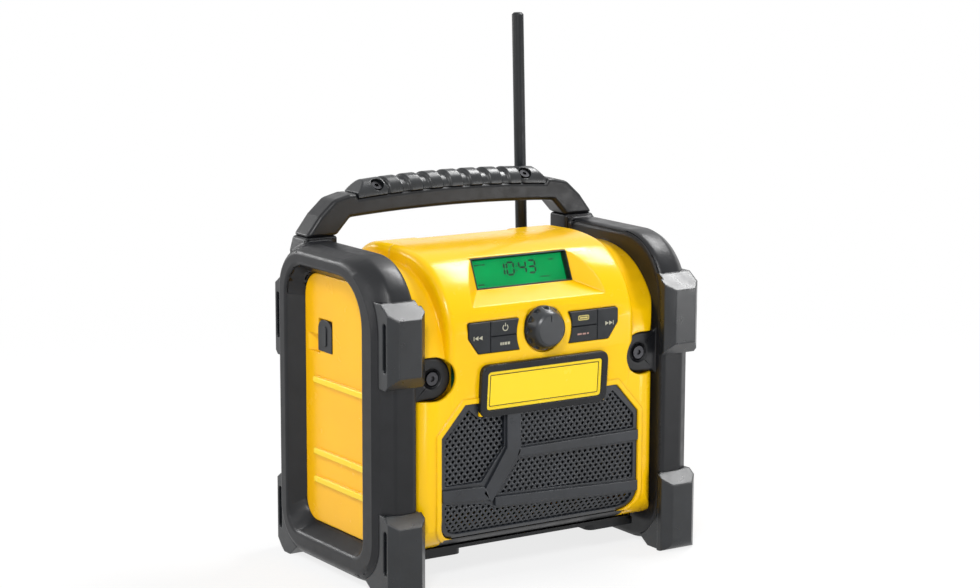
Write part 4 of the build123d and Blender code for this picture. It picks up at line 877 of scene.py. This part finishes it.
# Each field: its corners, and how far its perforated sheet lies behind the front face.
GRILLE_FIELDS = (
    (
        (
            (-76.6, 68.2), (-47.6, 67.8), (-29.8, 90), (-29.8, 111.8), (-51, 111.8), (-58.5, 118.2),
            (-76.6, 99.5),
        ), 2.2,
    ),
    (((-16.5, 89.2), (76.4, 89.6), (76.4, 99.6), (58.5, 118.2), (51, 111.8), (-16.5, 111.8)), 1.2),
    (((-34.2, 58.4), (76.4, 54.2), (76.4, 79.4), (-17.8, 80.6)), 1.2),
    (
        (
            (-66, 33.6), (66, 33.6), (72.4, 35.8), (76, 41.5), (76, 43.6), (-36, 48.6), (-44, 52.6),
            (-76.6, 56.2), (-76.6, 44), (-72.4, 35.8),
        ), 1.2,
    ),
)
GRILLE_RIBS = (
    ((-28.6, 112.6), (-17.6, 112.6), (-17.6, 85), (-40.7, 53.4), (-47.6, 60.2), (-28.6, 89)),
    ((-79.4, 66.4), (-46.5, 65.2), (-41.5, 55.3), (-79.4, 58)),
    ((-19, 88.0), (79.4, 88.6), (79.4, 80.8), (-21.5, 82)),
    ((-38, 57.0), (79.4, 52.8), (79.4, 45.0), (-38, 50.3)),
)
# Heights at which a plate is cut so that it can follow the curve under the toe.
CURVE_CUTS = tuple(31.5 + 1.5 * step for step in range(12))
RIB_CUTS = CURVE_CUTS[8:]
HOLES_FROM_Z = 33.5
HOLE_ROWS = 32
HOLES_EACH_SIDE = 19
SHEET_OVERLAP = 2.0  # how far the sheet reaches behind the frame round its field


def reaches(point, outline, margin):
    """Whether a point lies in an outline, or no further outside it than the margin."""
    point = Vector(point)
    inside = False
    nearest = 1e9
    for first, second in zip(outline, outline[1:] + outline[:1]):
        first, second = Vector(first), Vector(second)
        if (first.y > point.y) != (second.y > point.y):
            crossing = first.x + (point.y - first.y) * (second.x - first.x) / (second.y - first.y)
            if point.x < crossing:
                inside = not inside
        edge = second - first
        share = min(max((point - first).dot(edge) / edge.length_squared, 0), 1)
        nearest = min(nearest, (point - first - edge * share).length)
    return inside or nearest <= margin


def perforated_mesh(name, settings):
    """Perforated sheet in every field, one open skin that a solidify modifier thickens."""
    form = bmesh.new()
    step_x, step_z = settings.pitch_x / MM, settings.pitch_z / MM
    radii = (settings.hole / MM * 0.44, settings.hole / MM * 0.54)  # at the eight points in turn
    rim = [(-0.5, -0.5), (0, -0.5), (0.5, -0.5), (0.5, 0), (0.5, 0.5), (0, 0.5), (-0.5, 0.5), (-0.5, 0)]
    for outline, depth in GRILLE_FIELDS:
        for row in range(HOLE_ROWS):
            for column in range(-HOLES_EACH_SIDE, HOLES_EACH_SIDE + 1):
                x = (column + 0.5 * (row % 2)) * step_x
                z = HOLES_FROM_Z + row * step_z
                if not reaches((x, z), outline, SHEET_OVERLAP):
                    continue
                outer = []
                inner = []
                for index, (a, b) in enumerate(rim):
                    outer.append(form.verts.new(face_point(x + a * step_x, z + b * step_z, -depth)))
                    turn = radians(225 + 45 * index)
                    radius = radii[index % 2]
                    inner.append(
                        form.verts.new(face_point(x + radius * cos(turn), z + radius * sin(turn), -depth))
                    )
                for index in range(8):
                    after = (index + 1) % 8
                    form.faces.new((outer[index], outer[after], inner[after], inner[index]))
    bmesh.ops.remove_doubles(form, verts=form.verts[:], dist=0.02 * MM)
    mesh = bpy.data.meshes.new(name)
    form.to_mesh(mesh)
    form.free()
    return mesh


class RADIO_OT_grille(bpy.types.Operator):
    """Make the speaker grille: frame, raised ribs and fine perforated sheet"""

    bl_idname = "radio.grille"
    bl_label = "Speaker grille"

    def execute(self, context):
        finish = context.scene.radio_finish
        sizes = context.scene.radio_grille
        black = moulded_black("grille_black", finish.grille_black, 0.4, (0.26, 0.38), 0.02, 0.5)
        windows = [soften(outline, 1.4) for outline, _ in GRILLE_FIELDS]
        plate = [soften(GRILLE_OUTLINE, 0.8, 2), *windows]
        panel = add_plates(
            "grille_frame", [(plate, -4.6, -0.2, CURVE_CUTS)], face_point, black,
            "housing", ("speaker_grille",),
        )
        rounded(panel, 0.35 * MM, 2, 40)
        bars = [((soften(rib, 1.0, 2),), -0.6, 1.8, RIB_CUTS) for rib in GRILLE_RIBS]
        ribs = add_plates("grille_ribs", bars, face_point, black, "housing")
        rounded(ribs, sizes.rib_edge, 3, 40)
        sheet = add_piece(
            "perforated_sheet", perforated_mesh("perforated_sheet", sizes), black, "housing"
        )
        solid = sheet.modifiers.new("sheet_thickness", "SOLIDIFY")
        solid.thickness = sizes.sheet
        solid.offset = -1
        return {"FINISHED"}


# ------------------------------------------------------------------ speakers and board
class RADIO_OT_speakers(bpy.types.Operator):
    """Finish the baffle and the two speakers behind the grille"""

    bl_idname = "radio.speakers"
    bl_label = "Speakers"

    def execute(self, context):
        finish, edges = settings(context)
        board = moulded_black("baffle_black", scaled(finish.cage_black, 0.6))
        dress("speaker_baffle", board, edges.small)
        basket = turned_metal("speaker_steel", (0.045, 0.045, 0.05), (0.35, 0.5))
        paper = Finish("cone_paper")
        fibres = paper.noise(1.2 * MM, 5, 0.7, paper.stretched((1, 1, 3)))
        tone = paper.span(fibres, 0.35, 0.7)
        paper.colour(paper.blend(tone, (0.006, 0.006, 0.007), (0.018, 0.018, 0.02)))
        paper.roughness(paper.span(fibres, 0.3, 0.7, 0.75, 0.95))
        paper.bump((fibres, 0.04 * MM))
        ferrite = Finish("magnet_ferrite")
        specks = ferrite.noise(0.6 * MM, 4, 0.6)
        tone = ferrite.span(specks, 0.35, 0.7)
        ferrite.colour(ferrite.blend(tone, (0.03, 0.03, 0.033), (0.075, 0.073, 0.07)))
        ferrite.roughness(ferrite.span(specks, 0.3, 0.7, 0.5, 0.75))
        ferrite.bump((specks, 0.03 * MM))
        for side in ("left", "right"):
            dress(f"{side}_speaker_frame", basket, edges.small)
            dress(f"{side}_speaker_cone", paper.material)
            dress(f"{side}_speaker_magnet", ferrite.material, edges.small * 2)
        return {"FINISHED"}


class RADIO_OT_board(bpy.types.Operator):
    """Finish the main board, the encoder and the key switches"""

    bl_idname = "radio.board"
    bl_label = "Main board"

    def execute(self, context):
        edges = context.scene.radio_edges
        mask = Finish("board_green")
        tracks = mask.span(mask.grain(4 * MM, "DISTANCE_TO_EDGE"), 0.04, 0.07)
        drift = mask.span(mask.noise(30 * MM, 3), 0.3, 0.7)
        field = mask.blend(drift, (0.006, 0.075, 0.028), (0.010, 0.095, 0.036))
        mask.colour(mask.blend(tracks, (0.03, 0.16, 0.06), field))
        mask.roughness(mask.span(mask.noise(6 * MM, 3), 0.3, 0.7, 0.22, 0.36))
        mask.bump((tracks, 0.03 * MM))
        dress("main_board", mask.material, edges.small * 0.4)
        switch = moulded_black("switch_black", (0.012, 0.012, 0.013), 0.3)
        dress("tact_switches", switch, edges.small * 0.6)
        dress("encoder_body", turned_metal("encoder_metal", (0.58, 0.58, 0.57)), edges.small)
        shaft = turned_metal("shaft_metal", (0.72, 0.72, 0.73), along=(1, 10, 1))
        dress("encoder_shaft", shaft, edges.small)
        return {"FINISHED"}


# ------------------------------------------------------------------ battery, aerial, sockets
class RADIO_OT_battery(bpy.types.Operator):
    """Finish the battery pack, its release button, the dock and the terminals"""

    bl_idname = "radio.battery"
    bl_label = "Battery"

    def execute(self, context):
        finish, edges = settings(context)
        case = moulded_black("battery_black", finish.cage_black, 0.6, (0.42, 0.56), 0.05)
        dress("battery_pack", case, edges.small * 3, 3)
        latch = moulded_yellow("latch_yellow", finish.yellow, finish.amber, 0.6)
        dress("battery_latch", latch, edges.small * 2, 3)
        dress("battery_dock", moulded_black("dock_black", finish.cage_black, 0.4), edges.small * 1.5)
        dress("battery_terminals", turned_metal("terminal_brass", (0.72, 0.50, 0.18)), edges.small * 0.5)
        return {"FINISHED"}


class RADIO_OT_aerial(bpy.types.Operator):
    """Finish the aerial and its foot"""

    bl_idname = "radio.aerial"
    bl_label = "Aerial"

    def execute(self, context):
        finish, edges = settings(context)
        coat = moulded_black("antenna_black", scaled(finish.rubber_black, 0.9), 0.3, (0.36, 0.48), 0.012)
        dress("antenna_rod", coat, edges.small * 4, 4)
        dress("antenna_base", moulded_black("collar_black", finish.cage_black, 0.4), edges.small * 3, 3)
        return {"FINISHED"}


COVER_RIDGE_PLACE = (22.0, 158.4)
COVER_RIDGE_SIZE = (5.0, 14.0)


class RADIO_OT_sockets(bpy.types.Operator):
    """Finish the sockets and their soft covers"""

    bl_idname = "radio.sockets"
    bl_label = "Sockets and covers"

    def execute(self, context):
        finish, edges = settings(context)
        jack = moulded_black("jack_black", finish.cage_black, 0.3)
        cover = moulded_black("cover_black", finish.rubber_black, 0.35, (0.36, 0.5), 0.015, 0.5)
        for node in ("aux_jack", "dc_inlet"):
            dress(node, jack, edges.small)
        for node in ("aux_cover", "dc_cover"):
            dress(node, cover, edges.small * 2, 3)
        bar = soften(bar_outline(*COVER_RIDGE_PLACE, *COVER_RIDGE_SIZE), 2.2)
        plates = [((bar,), 0.4, 1.5)]
        ridge = add_plates("cover_ridge", plates, side_point, cover, "aux_cover")
        rounded(ridge, 0.5 * MM, 3)
        return {"FINISHED"}


# ------------------------------------------------------------------ fasteners
class RADIO_OT_fasteners(bpy.types.Operator):
    """Finish the screws"""

    bl_idname = "radio.fasteners"
    bl_label = "Fasteners"

    def execute(self, context):
        edges = context.scene.radio_edges
        steel = turned_metal("screw_steel", (0.06, 0.06, 0.065), (0.34, 0.5), (6, 1, 1))
        for node in ("cage_screws", "housing_screws", "board_screws"):
            dress(node, steel, edges.small * 1.3, 2)
        dress("handle_screws", turned_metal("dark_steel", (0.018, 0.018, 0.02), (0.4, 0.55)), edges.small)
        return {"FINISHED"}


# ------------------------------------------------------------------ stage
FLOOR_HALF = 30.0
FLOOR_FADE = (0.3, 1.1)  # distances between which the floor turns plain white
GLOW_SHARE = 0.8  # how white the floor under the radio is whatever shadow falls on it
LIGHT_AIM = Vector((0, 0, 0.13))
# Each softbox: its name, place, size and power in watts.
SOFTBOXES = (
    ("key_softbox", (-1.1, -1.3, 1.5), (0.42, 0.42), 25),
    ("top_softbox", (0.8, 0.12, 1.31), (0.7, 0.26), 15),
    ("right_softbox", (0.64, -0.76, 0.16), (0.26, 0.24), 1.6),
    ("side_softbox", (-1.5, 0.1, 0.6), (0.3, 1.0), 4),
    ("rim_softbox", (-0.75, 1.2, 0.6), (0.6, 0.3), 6),
    ("front_softbox", (-1.0, -1.6, 0.14), (0.25, 0.4), 3),
)
CAMERA_PLACE = (-0.9183, -1.4115, 0.4769)
CAMERA_LOOK = Vector((0.5381, 0.8248, -0.1736))
CAMERA_ROLL = radians(0.19)
CAMERA_LENS = 91.23


class RADIO_OT_stage(bpy.types.Operator):
    """Lay the floor, hang the lights and place the camera"""

    bl_idname = "radio.stage"
    bl_label = "Stage"

    def execute(self, context):
        scene = context.scene
        scene.view_settings.view_transform = "Standard"
        self.floor(scene)
        self.world(scene)
        self.lights(scene)
        self.camera(scene)
        return {"FINISHED"}

    def seen_white(self, nodes, links, plain, white, strength=None):
        """Shader that shows white to the camera, also in reflections and through glass.

        The strength, a socket, says how white it is there; without one it is all white.
        """
        path = nodes.new("ShaderNodeLightPath")
        total = None
        for ray in ("Is Camera Ray", "Is Glossy Ray", "Is Transmission Ray"):
            socket = path.outputs[ray]
            if total:
                add = nodes.new("ShaderNodeMath")
                add.operation = "ADD"
                add.use_clamp = True
                links.new(total, add.inputs[0])
                links.new(socket, add.inputs[1])
                socket = add.outputs[0]
            total = socket
        if strength:
            share = nodes.new("ShaderNodeMath")
            share.operation = "MULTIPLY"
            links.new(total, share.inputs[0])
            links.new(strength, share.inputs[1])
            total = share.outputs[0]
        mix = nodes.new("ShaderNodeMixShader")
        links.new(total, mix.inputs["Fac"])
        links.new(plain.outputs[0], mix.inputs[1])
        links.new(white.outputs[0], mix.inputs[2])
        return mix.outputs[0]

    def floor(self, scene):
        mesh = bpy.data.meshes.new("floor")
        corners = [(x, y, 0) for x, y in bar_outline(0, 0, 2 * FLOOR_HALF, 2 * FLOOR_HALF)]
        mesh.from_pydata(corners, [], [(0, 1, 2, 3)])
        floor = bpy.data.objects.new("floor", mesh)
        scene.collection.objects.link(floor)
        material = bpy.data.materials.new("floor_white")
        material.use_nodes = True
        nodes, links = material.node_tree.nodes, material.node_tree.links
        nodes.clear()
        paper = nodes.new("ShaderNodeBsdfDiffuse")
        paper.inputs["Color"].default_value = (0.92, 0.92, 0.92, 1)
        glow = nodes.new("ShaderNodeEmission")
        glow.inputs["Color"].default_value = (1, 1, 1, 1)
        place = nodes.new("ShaderNodeNewGeometry")
        reach = nodes.new("ShaderNodeVectorMath")
        reach.operation = "LENGTH"
        links.new(place.outputs["Position"], reach.inputs[0])
        fade = nodes.new("ShaderNodeMapRange")
        fade.interpolation_type = "SMOOTHSTEP"
        fade.inputs["From Min"].default_value, fade.inputs["From Max"].default_value = FLOOR_FADE
        fade.inputs["To Min"].default_value = GLOW_SHARE
        links.new(reach.outputs["Value"], fade.inputs["Value"])
        output = nodes.new("ShaderNodeOutputMaterial")
        shader = self.seen_white(nodes, links, paper, glow, fade.outputs["Result"])
        links.new(shader, output.inputs["Surface"])
        mesh.materials.append(material)

    def world(self, scene):
        world = bpy.data.worlds.new("studio")
        scene.world = world
        world.use_nodes = True
        nodes, links = world.node_tree.nodes, world.node_tree.links
        nodes.clear()
        fill = nodes.new("ShaderNodeBackground")
        fill.inputs["Color"].default_value = (0.95, 0.97, 1.0, 1)
        fill.inputs["Strength"].default_value = 0.28
        white = nodes.new("ShaderNodeBackground")
        white.inputs["Strength"].default_value = 1.0
        white.inputs["Color"].default_value = (1, 1, 1, 1)
        output = nodes.new("ShaderNodeOutputWorld")
        links.new(self.seen_white(nodes, links, fill, white), output.inputs["Surface"])

    def lights(self, scene):
        for name, place, size, power in SOFTBOXES:
            lamp = bpy.data.lights.new(name, "AREA")
            lamp.shape = "RECTANGLE"
            lamp.size, lamp.size_y = size
            lamp.energy = power
            holder = bpy.data.objects.new(name, lamp)
            holder.location = place
            aim = LIGHT_AIM - holder.location
            holder.rotation_euler = aim.to_track_quat("-Z", "Y").to_euler()
            holder.visible_camera = False
            scene.collection.objects.link(holder)

    def camera(self, scene):
        camera = bpy.data.cameras.new("studio_view")
        camera.lens = CAMERA_LENS
        camera.sensor_width = 36
        holder = bpy.data.objects.new("studio_view", camera)
        holder.location = CAMERA_PLACE
        turn = CAMERA_LOOK.to_track_quat("-Z", "Y") @ Quaternion((0, 0, 1), CAMERA_ROLL)
        holder.rotation_euler = turn.to_euler()
        scene.collection.objects.link(holder)
        scene.camera = holder


OPERATORS = (
    RADIO_OT_housing, RADIO_OT_cages, RADIO_OT_bumpers, RADIO_OT_handle, RADIO_OT_display,
    RADIO_OT_keys, RADIO_OT_knob, RADIO_OT_badge, RADIO_OT_grille, RADIO_OT_speakers,
    RADIO_OT_board, RADIO_OT_battery, RADIO_OT_aerial, RADIO_OT_sockets, RADIO_OT_fasteners,
    RADIO_OT_stage,
)


class RADIO_PT_sidebar(bpy.types.Panel):
    """Radio tools in the 3D view's sidebar"""

    bl_idname = "RADIO_PT_sidebar"
    bl_label = "Jobsite Radio"
    bl_space_type = "VIEW_3D"
    bl_region_type = "UI"
    bl_category = "Radio"

    def draw(self, context):
        for operator in OPERATORS:
            self.layout.operator(operator.bl_idname)


SETTINGS = {
    "radio_finish": RadioFinishSettings, "radio_edges": RadioEdgeSettings,
    "radio_grille": RadioGrilleSettings,
}
CLASSES = (*SETTINGS.values(), *OPERATORS, RADIO_PT_sidebar)


def register():
    for cls in CLASSES:
        bpy.utils.register_class(cls)
    for name, group in SETTINGS.items():
        setattr(bpy.types.Scene, name, PointerProperty(type=group))


def unregister():
    for name in SETTINGS:
        delattr(bpy.types.Scene, name)
    for cls in reversed(CLASSES):
        bpy.utils.unregister_class(cls)


def main():
    register()
    for operator in OPERATORS:
        group, name = operator.bl_idname.split(".")
        getattr(getattr(bpy.ops, group), name)()


if __name__ == "__main__":
    main()
